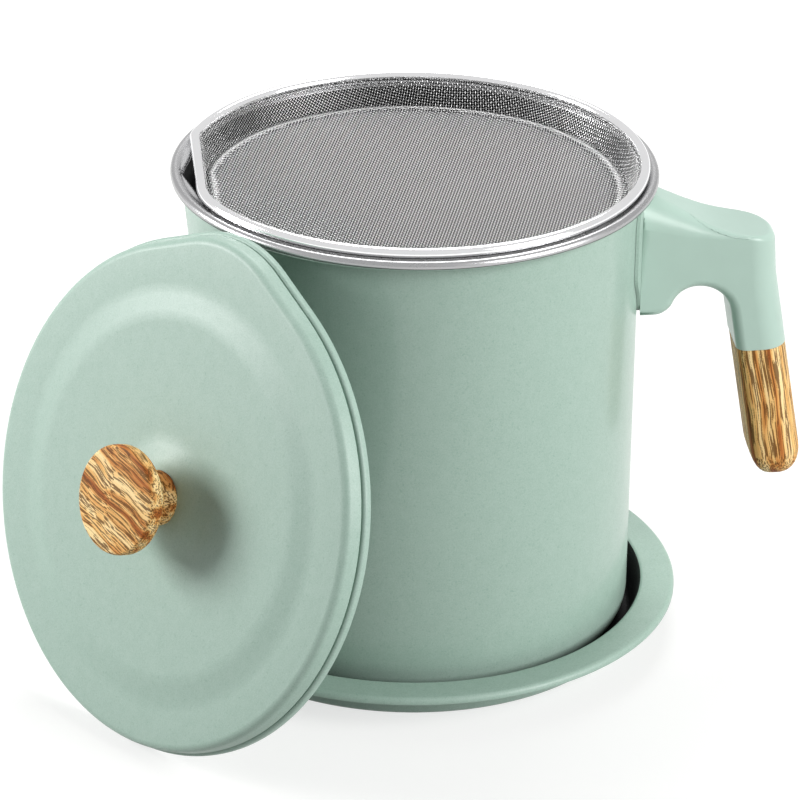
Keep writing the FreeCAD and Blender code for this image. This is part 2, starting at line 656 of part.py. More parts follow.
def arm_half_width(reach):
    """Give the arm's half width at a distance from the pot's axis, as an expression."""
    slope = f"(dims.arm_root_width - dims.arm_end_width) / 2 / ({LEG_OUTER} - {ARM_ROOT})"
    return f"(dims.arm_root_width / 2 - ({reach} - {ARM_ROOT}) * {slope})"


def make_arm_blank():
    """Arm before its top edges are rounded: side profile, tapered sides, rounded leg and arch."""
    body = new_body("handle_arm_blank")
    start = f"({ARM_ROOT} - dims.arm_overrun)"
    profile = new_sketch(body, "arm_profile", "XZ_Plane")
    draw_outline(profile, [
        Corner(start, f"{BRACKET_TOP} - dims.bracket_margin"),
        Corner(
            f"{ARM_ROOT} + dims.arm_sag_reach", "dims.pot_height - dims.arm_sag_drop",
            "dims.arm_sag_round",
        ),
        Corner(f"{ARM_ROOT} + dims.arm_reach", "dims.pot_height - dims.arm_end_drop"),
        Corner(
            f"{ARM_ROOT} + dims.arm_reach + dims.shoulder_reach",
            "dims.pot_height - dims.shoulder_drop", "dims.shoulder_round",
        ),
        Corner(LEG_OUTER, LEG_HEIGHT),
        Corner(LEG_INNER, LEG_HEIGHT),
        Corner(CROWN_END, CROWN_HEIGHT, CROWN_OUTER_ROUND),
        Corner(CROWN_START, CROWN_HEIGHT, "dims.crown_inner_round"),
        Corner(f"{ARM_ROOT} + dims.foot_reach", ARM_FOOT, FOOT_ROUND),
        Corner(start, ARM_FOOT),
    ])
    extrude(body, "arm_pad", profile, ACROSS_ARM, symmetric=True)
    taper = new_sketch(body, "arm_taper", "XY_Plane", LEG_HEIGHT)
    inner, outer = f"({start} - 1)", f"({LEG_OUTER} + 1)"
    for sign in ("", "-"):
        draw_outline(taper, [
            Corner(inner, f"{sign}{arm_half_width(inner)}"),
            Corner(outer, f"{sign}{arm_half_width(outer)}"),
            Corner(outer, f"{sign}dims.arm_root_width"),
            Corner(inner, f"{sign}dims.arm_root_width"),
        ])
    sides = extrude(body, "arm_sides", taper, "dims.leg_drop", cut=True, reverse=True)
    outer_face = size(f"{ARM_ROOT} + dims.arm_reach")

    def beside(ends):
        return ends[0].y * ends[-1].y > 0

    leg = round_edges(
        body, "leg_outer_rounding", sides,
        lambda ends, middle: beside(ends) and min(point.x for point in ends) > outer_face - 0.01,
        LEG_ROUND,
    )
    crown_top = size(CROWN_HEIGHT) + 0.01
    bottom = size(LEG_HEIGHT) + 0.01
    root = size(start) + 0.01
    round_edges(
        body, "arch_rounding", leg,
        lambda ends, middle: (
            beside(ends) and root < middle.x < size(LEG_INNER) and bottom < middle.z < crown_top
        ),
        "dims.leg_inner_round",
    )
    return body


def make_handle_arm():
    """Moulded arm: it butts against the bracket, covers its tab and turns down to the grip."""
    blank = make_arm_blank()
    root, leg_start = size(ARM_ROOT), size(f"{ARM_ROOT} + dims.arm_reach - {LEG_ROUND}")
    outer = size(f"{ARM_ROOT} + dims.arm_reach")
    top_end = size("dims.pot_height - dims.arm_end_drop")
    start = size(f"{ARM_ROOT} - dims.arm_overrun")

    def rounding(reach):
        share = (reach - root) / (leg_start - root)
        wide, narrow, end = (size(f"dims.arm_round_{part}") for part in ("root", "leg", "end"))
        if share <= 1:
            return wide + (narrow - wide) * share
        return narrow + (end - narrow) * (reach - leg_start) / (outer - leg_start)

    # The radii are given in the direction of the chain of edges, which is that of its first edge.
    fillet = doc.addObject("Part::Fillet", "handle_arm_rounded")
    fillet.Base = blank
    edges = []
    chain_turn = 0
    for number, edge in enumerate(blank.Shape.Edges, start=1):
        first, last = edge.valueAt(edge.FirstParameter), edge.valueAt(edge.LastParameter)
        along = first.y * last.y > 0 or min(first.x, last.x) > outer - 0.01
        on_top = min(first.z, last.z) > top_end - 0.01 and max(first.x, last.x) > start + 0.01
        if not (on_top and along):
            continue
        turn = (first.x - root) * last.y - (last.x - root) * first.y
        chain_turn = chain_turn or turn
        ends = (first.x, last.x) if turn * chain_turn > 0 else (last.x, first.x)
        edges.append((number, rounding(ends[0]), rounding(ends[1])))
    fillet.Edges = edges

    seam = cylinder("arm_seam", "0", f"{ARM_ROOT} + dims.fit_gap", "0", "dims.pot_height")
    slot = doc.addObject("Part::Box", "tab_slot")
    slot.setExpression("Length", "dims.tab_reach + dims.arm_overrun + 2 * dims.fit_gap")
    slot.setExpression("Width", "dims.tab_width + 2 * dims.fit_gap")
    slot.setExpression("Height", "dims.tab_sheet + 2 * dims.fit_gap")
    slot.setExpression(".Placement.Base.x", f"{ARM_ROOT} - dims.arm_overrun")
    slot.setExpression(".Placement.Base.y", "-dims.tab_width / 2 - dims.fit_gap")
    slot.setExpression(".Placement.Base.z", f"{TAB_UNDER} - dims.fit_gap")
    tools = [
        seam,
        slot,
        cylinder(
            "screw_passage", SCREW_REACH, "dims.screw_hole", ARM_FOOT,
            "dims.tab_rise + dims.tab_sheet + dims.arm_screw_tip + dims.insert_sink",
        ),
        cylinder(
            "screw_counterbore", SCREW_REACH, "dims.arm_head_radius + dims.insert_sink", ARM_FOOT,
            "dims.arm_head_sink + dims.arm_head_height",
        ),
        cylinder(
            "arm_insert_seat", STUD_REACH, INSERT_HOLE, LEG_HEIGHT,
            "dims.insert_sink + dims.insert_length + dims.fit_gap",
        ),
    ]
    removed = doc.addObject("Part::MultiFuse", "arm_hollows")
    removed.Shapes = tools
    arm = doc.addObject("Part::Cut", "handle_arm")
    arm.Base = fillet
    arm.Tool = removed
    arm.Label = "handle_arm"
    doc.recompute()
    return arm


def cylinder(name, reach, radius, bottom, height):
    """Make an upright cylinder at a distance along +X."""
    item = doc.addObject("Part::Cylinder", name)
    item.setExpression("Radius", radius)
    item.setExpression("Height", height)
    item.setExpression(".Placement.Base.x", reach)
    item.setExpression(".Placement.Base.z", bottom)
    return item


def draw_corner_waste(sketch, across, up, lean, sign):
    """Outline what is cut off a lower corner to round it; the side beside it leans from the vertical."""
    radius = "dims.grip_end_round"
    reach = f"({radius} * tan((45 + {sign} * {lean} / 2) * 1 deg))"
    side_x, side_z = f"{across} - {reach} * sin({lean} * 1 deg)", f"{up} + {reach} * cos({lean} * 1 deg)"
    foot_x = f"{across} - {sign} * {reach}"

    def arc_middle():
        corner = Vector(size(across), size(up), 0)
        centre = Vector(size(foot_x), size(f"{up} + {radius}"), 0)
        return centre + (corner - centre).normalize() * size(radius)

    draw_outline(sketch, [
        Corner(side_x, side_z),
        Corner(f"{side_x} + {sign} * {radius}", side_z),
        Corner(f"{side_x} + {sign} * {radius}", f"{up} - {radius}"),
        Corner(foot_x, f"{up} - {radius}"),
        Corner(foot_x, up, arc=radius, middle=arc_middle),
    ])


def make_grip():
    """Grip: a leaning D section with a rounded lower end and a bore for its insert."""
    body = new_body("grip")
    sketch = new_sketch(body, "grip_section", "XY_Plane", f"{LEG_HEIGHT} - dims.fit_gap")
    inner_half, outer_half = arm_half_width(LEG_INNER), arm_half_width(LEG_OUTER)
    draw_outline(sketch, [
        Corner(LEG_INNER, f"-{inner_half}", "dims.leg_inner_round"),
        Corner(LEG_OUTER, f"-{outer_half}", LEG_ROUND),
        Corner(LEG_OUTER, outer_half, LEG_ROUND),
        Corner(LEG_INNER, inner_half, "dims.leg_inner_round"),
    ])
    pad = extrude(body, "grip_pad", sketch, "dims.grip_length")
    pad.UseCustomVector = True
    pad.AlongSketchNormal = True
    lean = math.radians(size("dims.leg_lean"))
    pad.Direction = Vector(math.sin(lean), 0, -math.cos(lean))
    doc.recompute()
    bottom = f"({LEG_HEIGHT} - dims.fit_gap - dims.grip_length)"
    shift = "dims.grip_length * tan(dims.leg_lean * 1 deg)"
    side = new_sketch(body, "grip_end_side", "XZ_Plane")
    draw_corner_waste(side, f"({LEG_INNER} + {shift})", bottom, "dims.leg_lean", -1)
    draw_corner_waste(side, f"({LEG_OUTER} + {shift})", bottom, "dims.leg_lean", 1)
    extrude(body, "grip_end_depth", side, ACROSS_ARM, cut=True, symmetric=True)
    front = new_sketch(body, "grip_end_front", "YZ_Plane")
    draw_corner_waste(front, f"-{inner_half}", bottom, "0", -1)
    draw_corner_waste(front, inner_half, bottom, "0", 1)
    extrude(body, "grip_end_width", front, f"2 * {LEG_OUTER}", cut=True, reverse=True)
    bore = new_sketch(body, "grip_bore", "XY_Plane", LEG_HEIGHT)
    draw_circle(bore, STUD_REACH, "0", INSERT_HOLE)
    extrude(
        body, "grip_insert_seat", bore,
        "dims.insert_sink + dims.insert_length + 2 * dims.fit_gap", cut=True,
    )
    return body


def make_insert(name, placement):
    """Threaded insert: a sleeve with a waist that holds it in the moulding."""
    body = new_body(name)
    waist = "dims.insert_radius - dims.insert_waist"
    slope = "dims.insert_band + dims.insert_waist"
    revolve(body, f"{name}_sleeve", [
        Corner(THREAD_HOLE, "0"),
        Corner("dims.insert_radius", "0"),
        Corner("dims.insert_radius", "dims.insert_band"),
        Corner(waist, slope),
        Corner(waist, f"dims.insert_length - ({slope})"),
        Corner("dims.insert_radius", "dims.insert_length - dims.insert_band"),
        Corner("dims.insert_radius", "dims.insert_length"),
        Corner(THREAD_HOLE, "dims.insert_length"),
    ])
    body.Placement = placement
    return body


def make_screw(name, head_radius, head_height, length, placement):
    """Pan-head screw with a cross recess; its thread points up from the head's seat at Z = 0."""
    body = new_body(name)
    revolve(body, f"{name}_blank", [
        Corner("0", f"-{head_height}"),
        Corner(head_radius, f"-{head_height}", f"{head_height} - dims.head_rim"),
        Corner(head_radius, "0"),
        Corner("dims.thread_radius", "0"),
        Corner("dims.thread_radius", f"{length} - dims.thread_chamfer"),
        Corner("dims.thread_radius - dims.thread_chamfer", length),
        Corner("0", length),
    ])
    recess = new_sketch(body, f"{name}_recess_outline", "XY_Plane", f"-{head_height}")
    arm, half = "dims.recess_reach", "dims.recess_half"
    draw_outline(recess, [
        Corner(half, half), Corner(half, arm), Corner(f"-{half}", arm),
        Corner(f"-{half}", half), Corner(f"-{arm}", half), Corner(f"-{arm}", f"-{half}"),
        Corner(f"-{half}", f"-{half}"), Corner(f"-{half}", f"-{arm}"), Corner(half, f"-{arm}"),
        Corner(half, f"-{half}"), Corner(arm, f"-{half}"), Corner(arm, half),
    ])
    extrude(body, f"{name}_recess", recess, "dims.recess_depth", cut=True, reverse=True)
    body.Placement = placement
    return body


def make_grip_stud():
    """Headless stud, half in the arm's insert and half in the grip's."""
    body = new_body("grip_stud")
    end, length = "dims.thread_radius - dims.thread_chamfer", f"2 * {STUD_HALF}"
    revolve(body, "stud_blank", [
        Corner("0", "0"),
        Corner(end, "0"),
        Corner("dims.thread_radius", "dims.thread_chamfer"),
        Corner("dims.thread_radius", f"{length} - dims.thread_chamfer"),
        Corner(end, length),
        Corner("0", length),
    ])
    body.Placement = Placement(
        Vector(size(STUD_REACH), 0, size(f"{LEG_HEIGHT} - {STUD_HALF}")), Rotation()
    )
    return body


def lean(away, height="0"):
    """Place a piece on the leaning lid: Z is the lid's axis and +X points at its spout cover."""
    tilt, azimuth = (math.radians(size(f"dims.lid_{part}")) for part in ("tilt", "azimuth"))
    lip = size(LIP_HALF)
    path = size(f"{LID_RADIUS} - {LIP_HALF}")
    centre_z = size("dims.lid_floor_gap") + path * math.cos(tilt) + lip * (1 - math.sin(tilt))
    outward = Vector(math.cos(azimuth), math.sin(azimuth), 0)
    sideways = Vector(-math.sin(azimuth), math.cos(azimuth), 0)
    normal = outward * math.cos(tilt) + Vector(0, 0, math.sin(tilt))
    upward = normal.cross(sideways)
    centre = outward * away + sideways * size("dims.lid_offset") + Vector(0, 0, centre_z)
    roll = Rotation(normal, -size("dims.lid_roll"))
    turn = Rotation(roll.multVec(upward), Vector(), normal, "ZXY")
    return Placement(centre + normal * size(height), turn)


def find_lean(lip_path):
    """Bring the lid in until its lip or its underside is one rim gap from the rolled rim or the wall."""
    up = Vector(0, 0, 1)
    rim = Part.makeCircle(size(CURL_RADIUS), up * size(CURL_HEIGHT))
    wall = Part.makeCylinder(size("dims.pot_radius"), size(CURL_HEIGHT))

    def disc(radius, height):
        return Part.Face(Part.Wire(Part.makeCircle(size(radius), up * size(height))))

    annulus = disc(f"{LID_RADIUS} - dims.shoulder_inset - dims.lid_bend", SHOULDER_UNDER).cut(
        disc(PANEL_RADIUS, SHOULDER_UNDER)
    )
    gap, lip, tube = size("dims.lid_rim_gap"), size(LIP_HALF), size("dims.curl_tube")
    contacts = (
        (lip_path, rim, gap + lip + tube),
        (lip_path, wall, gap + lip),
        (annulus, rim, gap + tube),
        (disc(PANEL_INNER, PANEL_UNDER), rim, gap + tube),
    )
    away = 2 * size(LID_RADIUS) + size(CURL_RADIUS)
    spare = away
    while spare > 1e-4:
        place = lean(away)
        spare = min(
            item.transformed(place.Matrix).distToShape(other)[0] - reach
            for item, other, reach in contacts
        )
        away -= spare
    return away


def make_lid_shell():
    """Pressed lid: rolled lip, groove, skirt, stepped panel, central boss and a spout cover."""
    body = new_body("lid_shell")
    tip_centre = f"({LID_RADIUS} + dims.lid_spout_rise - dims.lid_spout_round)"

    def outline(name, height, inset):
        sketch = new_sketch(body, name, "XY_Plane", height)
        draw_belt(sketch, f"{LID_RADIUS} - ({inset})", tip_centre, f"dims.lid_spout_round - ({inset})")
        return sketch

    shoulder, sheet = "dims.shoulder_height", "dims.lid_sheet"
    lip_middle = "dims.lip_height / 2"
    extrude(
        body, "lid_groove", outline("groove_outline", lip_middle, "dims.groove_inset"),
        f"{GROOVE_TOP} - {lip_middle}",
    )
    skirt = loft(body, "lid_skirt", [
        outline("skirt_foot", GROOVE_TOP, "dims.skirt_inset"),
        outline("skirt_top", shoulder, "dims.shoulder_inset"),
    ])
    round_edges(
        body, "lid_shoulder", skirt,
        lambda ends, middle: all(point.z > size(shoulder) - 0.001 for point in ends + [middle]),
        "dims.lid_bend",
    )
    revolve(body, "lid_panel", [
        Corner("0", SHOULDER_UNDER),
        Corner("0", "dims.boss_height"),
        Corner("dims.boss_seat_radius", "dims.boss_height", "dims.panel_bend"),
        Corner("dims.boss_radius", "dims.panel_height", "dims.panel_bend + dims.lid_sheet"),
        Corner(PANEL_INNER, "dims.panel_height", "dims.panel_bend + dims.lid_sheet"),
        Corner(PANEL_RADIUS, shoulder),
        Corner(PANEL_RADIUS, SHOULDER_UNDER),
    ])
    revolve(body, "lid_panel_back", [
        Corner("0", GROOVE_TOP),
        Corner("0", SEAT_UNDER),
        Corner(f"dims.boss_seat_radius - {sheet} / 2", SEAT_UNDER, "dims.panel_bend - dims.lid_sheet"),
        Corner(f"dims.boss_radius - {sheet} / 2", PANEL_UNDER, "dims.panel_bend"),
        Corner(f"{PANEL_INNER} - {sheet} / 2", PANEL_UNDER, "dims.panel_bend"),
        Corner(f"{PANEL_RADIUS} - {sheet} / 2", SHOULDER_UNDER),
        Corner(f"{PANEL_RADIUS} - {sheet} / 2", GROOVE_TOP),
    ], cut=True)
    extrude(
        body, "lid_mouth", outline("mouth_outline", "0", f"dims.groove_inset + {sheet}"), GROOVE_TOP,
        cut=True, reverse=True,
    )
    loft(body, "lid_cavity", [
        outline("cavity_foot", GROOVE_TOP, f"dims.skirt_inset + {sheet}"),
        outline("cavity_top", SHOULDER_UNDER, f"dims.shoulder_inset + {sheet}"),
    ], cut=True)
    hole = new_sketch(body, "screw_hole_outline", "XY_Plane", "dims.boss_height")
    draw_circle(hole, "0", "0", "dims.screw_hole")
    extrude(body, "lid_screw_hole", hole, "2 * dims.lid_sheet", cut=True)
    path = outline("lip_path", LIP_HALF, LIP_HALF)
    profile = new_sketch(body, "lip_profile", "XZ_Plane")
    draw_stadium(profile, f"-({LID_RADIUS} - {LIP_HALF})", LIP_HALF, "dims.lip_height")
    pipe(body, "rolled_lip", profile, path)
    away = find_lean(path.Shape)
    body.Placement = lean(away)
    return body, away


def draw_stadium(sketch, middle, half, height):
    """Draw an upright slot shape that stands on the horizontal axis."""
    x, r, top = size(middle), size(half), size(height)
    low, high = Vector(x, r, 0), Vector(x, top - r, 0)
    aside, up = Vector(r, 0, 0), Vector(0, r, 0)
    upper = sketch.addGeometry(Part.Arc(high + aside, high + up, high - aside))
    lower = sketch.addGeometry(Part.Arc(low - aside, low - up, low + aside))
    left = sketch.addGeometry(Part.LineSegment(high - aside, low - aside))
    right = sketch.addGeometry(Part.LineSegment(low + aside, high + aside))
    sketch.addConstraint([
        Sketcher.Constraint("Tangent", upper, 2, left, 1),
        Sketcher.Constraint("Tangent", left, 2, lower, 1),
        Sketcher.Constraint("Tangent", lower, 2, right, 1),
        Sketcher.Constraint("Tangent", right, 2, upper, 1),
    ])
    fix_radius(sketch, lower, half)
    fix_point(sketch, lower, 3, middle, half)
    fix_point(sketch, upper, 3, middle, f"{height} - {half}")


def make_lid_knob(away):
    """Mushroom knob on the lid's boss, with a blind bore for its insert."""
    body = new_body("lid_knob")
    revolve(body, "knob_turning", [
        Corner("0", "0"),
        Corner("dims.collar_radius", "0"),
        Corner("dims.collar_radius", "dims.collar_height", "dims.collar_round"),
        Corner("dims.neck_radius", "dims.neck_start", "dims.neck_foot_round"),
        Corner("dims.neck_radius", "dims.neck_end", "dims.neck_head_round"),
        Corner("dims.knob_radius", "dims.knob_under", "dims.knob_under_round"),
        Corner("dims.knob_radius", "dims.knob_edge", "dims.knob_face_round"),
        Corner("0", "dims.knob_height"),
    ])
    bore = new_sketch(body, "knob_bore_outline", "XY_Plane")
    draw_circle(bore, "0", "0", INSERT_HOLE)
    extrude(
        body, "knob_bore", bore, "dims.insert_sink + dims.insert_length + dims.fit_gap",
        cut=True, reverse=True,
    )
    body.Placement = lean(away, "dims.boss_height")
    return body


def make_knob_washer(away):
    """Plain washer between the screw's head and the lid."""
    body = new_body("knob_washer")
    sketch = new_sketch(body, "washer_outline", "XY_Plane")
    draw_circle(sketch, "0", "0", "dims.washer_radius")
    draw_circle(sketch, "0", "0", "dims.screw_hole")
    extrude(body, "washer_disc", sketch, "dims.washer_sheet")
    body.Placement = lean(away, f"{SEAT_UNDER} - dims.washer_sheet")
    return body


def upright(reach, height):
    """Place a piece on the handle's middle plane, pointing up."""
    return Placement(Vector(size(reach), 0, size(height)), Rotation())


lid_shell, lid_away = make_lid_shell()
pieces = [
    make_tray(),
    make_pot_body(),
    make_strainer_rim(),
    make_strainer_mesh(),
    make_handle_bracket(),
    make_handle_arm(),
    make_screw(
        "arm_screw", "dims.arm_head_radius", "dims.arm_head_height",
        f"({TAB_UNDER} + dims.tab_sheet + dims.arm_screw_tip - {HEAD_SEAT})",
        upright(SCREW_REACH, HEAD_SEAT),
    ),
    make_insert("arm_insert", upright(STUD_REACH, f"{LEG_HEIGHT} + dims.insert_sink")),
    make_grip(),
    make_insert(
        "grip_insert",
        upright(STUD_REACH, f"{LEG_HEIGHT} - dims.fit_gap - dims.insert_sink - dims.insert_length"),
    ),
    make_grip_stud(),
    lid_shell,
    make_lid_knob(lid_away),
    make_insert("knob_insert", lean(lid_away, "dims.boss_height + dims.insert_sink")),
    make_screw(
        "knob_screw", "dims.knob_head_radius", "dims.knob_head_height",
        "(dims.washer_sheet + dims.lid_sheet + dims.insert_sink + dims.insert_length"
        " - dims.screw_tip_gap)",
        lean(lid_away, f"{SEAT_UNDER} - dims.washer_sheet"),
    ),
    make_knob_washer(lid_away),
]
doc.recompute()

for item in doc.Objects:
    if "Invalid" in item.State or "Error" in item.State:
        raise RuntimeError(f"{item.Name} is {item.State}")
for piece in pieces:
    shape = piece.Shape
    if shape.isNull() or not shape.isValid() or len(shape.Solids) != 1:
        raise RuntimeError(f"{piece.Label} is not one valid solid")

os.makedirs("parts", exist_ok=True)
for piece in pieces:
    piece.Shape.exportStep(os.path.join("parts", f"{piece.Label}.step"))
    box = piece.Shape.BoundBox
    print(
        f"{piece.Label}: {piece.Shape.Volume:.1f} mm3, "
        f"X {box.XMin:.2f} {box.XMax:.2f}, Y {box.YMin:.2f} {box.YMax:.2f}, Z {box.ZMin:.2f} {box.ZMax:.2f}"
    )
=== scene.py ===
"""Bacon grease container: finishes and detailed pieces of the pot, strainer, tray, handle and lid.

Metres. +Z is up, the pot's axis is the Z axis and Z = 0 is the plane that the tray stands on. The
handle points along +X and the pour spout along -X. The lid's own frame has its open edge at Z = 0,
its axis along +Z and its spout cover along +X.
"""

import json
import logging
import math
from collections.abc import Callable, Iterable, Sequence
from dataclasses import dataclass, field
from enum import Enum

import bmesh
import bpy
from bmesh.types import BMesh, BMVert
from bpy.types import ColorRampElements, Material, NodeSocket, Object, World
from mathutils import Matrix, Vector


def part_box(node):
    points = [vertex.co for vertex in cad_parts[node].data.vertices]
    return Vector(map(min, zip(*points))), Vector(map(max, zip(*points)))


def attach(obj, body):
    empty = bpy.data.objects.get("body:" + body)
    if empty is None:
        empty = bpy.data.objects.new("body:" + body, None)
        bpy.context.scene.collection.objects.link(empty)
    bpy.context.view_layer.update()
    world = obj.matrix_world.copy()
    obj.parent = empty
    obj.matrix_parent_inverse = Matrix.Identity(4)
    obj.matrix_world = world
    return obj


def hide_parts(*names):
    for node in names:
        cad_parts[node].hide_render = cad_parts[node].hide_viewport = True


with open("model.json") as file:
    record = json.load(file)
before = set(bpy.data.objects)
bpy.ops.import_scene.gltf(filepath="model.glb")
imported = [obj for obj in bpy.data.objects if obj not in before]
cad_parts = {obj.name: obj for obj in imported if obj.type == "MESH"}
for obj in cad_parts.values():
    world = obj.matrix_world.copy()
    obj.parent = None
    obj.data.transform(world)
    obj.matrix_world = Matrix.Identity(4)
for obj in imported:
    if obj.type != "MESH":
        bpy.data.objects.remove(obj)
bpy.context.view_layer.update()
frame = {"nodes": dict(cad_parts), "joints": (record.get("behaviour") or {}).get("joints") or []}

LOG = logging.getLogger("grease_container")
Z_AXIS = Vector((0.0, 0.0, 1.0))
WELD = 1e-6
# Attribute that marks where a wire takes its painted highlight instead of its painted shade.
PAINTED_HIGHLIGHT_MARK = "crest"

Colour = tuple[float, float, float, float]
Entries = dict[str | int, object] | None


def srgb(red: int, green: int, blue: int) -> Colour:
    """Turn a screen colour into the linear colour that shaders take.

    Args:
        red: the red level, from 0 to 255.
        green: the green level.
        blue: the blue level.

    Returns:
        The colour, with an alpha of 1.
    """
    def linear(level: int) -> float:
        """Give the linear share of one level."""
        share = level / 255
        return share / 12.92 if share <= 0.04045 else ((share + 0.055) / 1.055) ** 2.4
    return linear(red), linear(green), linear(blue), 1.0


# ---- shader maths


@dataclass(frozen=True)
class Wire:
    """An output socket that takes part in arithmetic and adds the Math nodes that it needs."""

    desk: "Desk"
    socket: NodeSocket | None

    def combine(self, operation: str, other: "Wire | float") -> "Wire":
        """Add a Math node on this and another value."""
        return self.desk.add("Math", {"operation": operation}, {0: self, 1: other})

    def __add__(self, other: "Wire | float") -> "Wire":
        """Add, in either order."""
        return self.combine("ADD", other)

    def __sub__(self, other: "Wire | float") -> "Wire":
        """Subtract."""
        return self.combine("SUBTRACT", other)

    def __mul__(self, other: "Wire | float") -> "Wire":
        """Multiply, in either order."""
        return self.combine("MULTIPLY", other)

    __radd__ = __add__
    __rmul__ = __mul__


class Desk:
    """The nodes of one material or of the world."""

    mix_inputs: tuple[int, int] = (6, 7)
    mix_output: int = 2

    def __init__(self, owner: Material | World) -> None:
        """Start with no nodes.

        Args:
            owner: the material or the world.
        """
        self.owner = owner
        self.owner.use_nodes = True
        self.tree = self.owner.node_tree
        self.tree.nodes.clear()

    @classmethod
    def of_material(cls, name: str) -> "Desk":
        """Start an empty material."""
        return cls(bpy.data.materials.new(name))

    def add(self, kind: str, settings: Entries = None, sockets: Entries = None,
            output: str | int = 0) -> Wire:
        """Add a node.

        Args:
            kind: the node's type, without its ShaderNode prefix.
            settings: the node's own settings, where stops are those of a colour ramp.
            sockets: values or wires of its inputs, by name or number.
            output: the output that is wanted.

        Returns:
            That output's socket, or an empty wire where the node has none.
        """
        node = self.tree.nodes.new(f"ShaderNode{kind}")
        for key, value in (settings or {}).items():
            if key == "stops":
                self.set_stops(node.color_ramp.elements, value)
            else:
                setattr(node, key, value)
        for key, value in (sockets or {}).items():
            if isinstance(value, Wire):
                self.tree.links.new(value.socket, node.inputs[key])
            else:
                node.inputs[key].default_value = value
        return Wire(self, node.outputs[output] if node.outputs else None)

    @staticmethod
    def set_stops(elements: ColorRampElements, stops: Sequence[tuple[float, Colour]]) -> None:
        """Give a colour ramp its stops.

        Args:
            elements: the ramp's own stops.
            stops: the position and the colour of each.
        """
        while len(elements) < len(stops):
            elements.new(0.5)
        for element, (position, colour) in zip(elements, stops):
            element.position = position
            element.color = colour

    def ramp(self, value: Wire, *stops: tuple[float, Colour]) -> Wire:
        """Colour a value by a ramp of stops."""
        return self.add("ValToRGB", {"stops": stops}, {"Fac": value})

    def mask(self, value: Wire, low: float, high: float) -> Wire:
        """Give a smooth step from 0 at low to 1 at high."""
        return self.add("MapRange", {"interpolation_type": "SMOOTHSTEP"},
                        {"Value": value, "From Min": low, "From Max": high})

    def mix_colours(self, share: Wire | float, first: object, second: object) -> Wire:
        """Mix two colours through the Mix node's colour sockets."""
        sockets = {0: share, self.mix_inputs[0]: first, self.mix_inputs[1]: second}
        return self.add("Mix", {"data_type": "RGBA"}, sockets, self.mix_output)

    def vector(self, operation: str, first: object, second: object) -> Wire:
        """Combine two vectors."""
        return self.add("VectorMath", {"operation": operation}, {0: first, 1: second})

    def place(self, turn: Vector | None = None, centre: Vector | None = None,
              stretch: tuple[float, float, float] = (1.0, 1.0, 1.0)) -> Wire:
        """Give the piece's own coordinates, turned, centred and stretched for a pattern.

        Args:
            turn: the pattern's turn about the three axes.
            centre: the pattern's centre on the piece.
            stretch: the pattern's frequency along its three axes.

        Returns:
            The coordinates.
        """
        coordinates = self.add("TexCoord", output="Object")
        if centre is not None:
            coordinates = self.vector("SUBTRACT", coordinates, centre)
        return self.add("Mapping", {"vector_type": "POINT"}, {
            "Vector": coordinates, "Rotation": turn or Vector(), "Scale": stretch})

    def noise(self, coordinates: Wire, scale: float, detail: float = 2.0,
              roughness: float = 0.5) -> Wire:
        """Give a noise value of about 0 to 1."""
        return self.add("TexNoise", None, {
            "Vector": coordinates, "Scale": scale, "Detail": detail, "Roughness": roughness})

    def bump(self, height: Wire, distance: float) -> Wire:
        """Turn a height pattern into a surface normal."""
        return self.add("Bump", None, {"Height": height, "Distance": distance, "Strength": 1.0},
                        "Normal")

    def seen(self) -> Wire:
        """Give 1 on rays from the camera or from a reflection, and 0 on the others."""
        return (self.add("LightPath", output="Is Camera Ray")
                + self.add("LightPath", output="Is Glossy Ray"))

    def finish(self, **sockets: object) -> Material:
        """Close the material with one Principled shader.

        Args:
            sockets: the shader's inputs, with their names in lower case.

        Returns:
            The material.
        """
        named = {key.replace("_", " ").title().replace("Ior", "IOR"): value
                 for key, value in sockets.items()}
        shader = self.add("BsdfPrincipled", None, named)
        self.add("OutputMaterial", None, {"Surface": shader})
        return self.owner


# ---- finishes


@dataclass(frozen=True)
class SatinPaint:
    """Baked paint with a fine orange-peel grain and a few larger specks."""

    name: str
    colour: Colour
    shade: Colour
    roughness: float = 0.5
    coat: float = 0.16
    coat_roughness: float = 0.3
    grain: float = 2600.0
    peel: float = 0.00003
    base_shade: float = 0.3
    mottle: float = 1.6
    clouds: float = 0.5
    specks: float = 0.35

    def material(self) -> Material:
        """Build the paint's nodes.

        Returns:
            The material.
        """
        desk = Desk.of_material(self.name)
        here = desk.place()
        fine = desk.noise(here, self.grain, 2.0, 0.6)
        broad = desk.noise(here, self.grain / 9, 3.0, 0.55)
        speck = desk.mask(desk.noise(here, self.grain / 2.2, 1.0), 0.62, 0.74)
        share = (self.base_shade + (fine - 0.5) * self.mottle + (broad - 0.5) * self.clouds
                 + speck * self.specks)
        return desk.finish(
            base_color=desk.mix_colours(share, self.colour, self.shade),
            roughness=self.roughness + (fine - 0.5) * 0.16,
            coat_weight=self.coat,
            coat_roughness=self.coat_roughness,
            normal=desk.bump(fine + broad * 0.6, self.peel),
        )


@dataclass(frozen=True)
class SmoothMoulding:
    """Painted moulding: satin, without the sheet's grain, a little uneven in gloss."""

    name: str
    colour: Colour
    shade: Colour
    roughness: float = 0.33
    coat: float = 0.08
    coat_roughness: float = 0.3
    clouds: float = 90.0
    grain: float = 2400.0
    peel: float = 0.000006

    def material(self) -> Material:
        """Build the moulding's nodes.

        Returns:
            The material.
        """
        desk = Desk.of_material(self.name)
        here = desk.place()
        cloud = desk.noise(here, self.clouds, 3.0, 0.5)
        fine = desk.noise(here, self.grain, 2.0, 0.5)
        return desk.finish(
            base_color=desk.mix_colours(cloud * 0.6, self.colour, self.shade),
            roughness=self.roughness + (cloud - 0.5) * 0.1,
            coat_weight=self.coat,
            coat_roughness=self.coat_roughness,
            normal=desk.bump(fine, self.peel),
        )


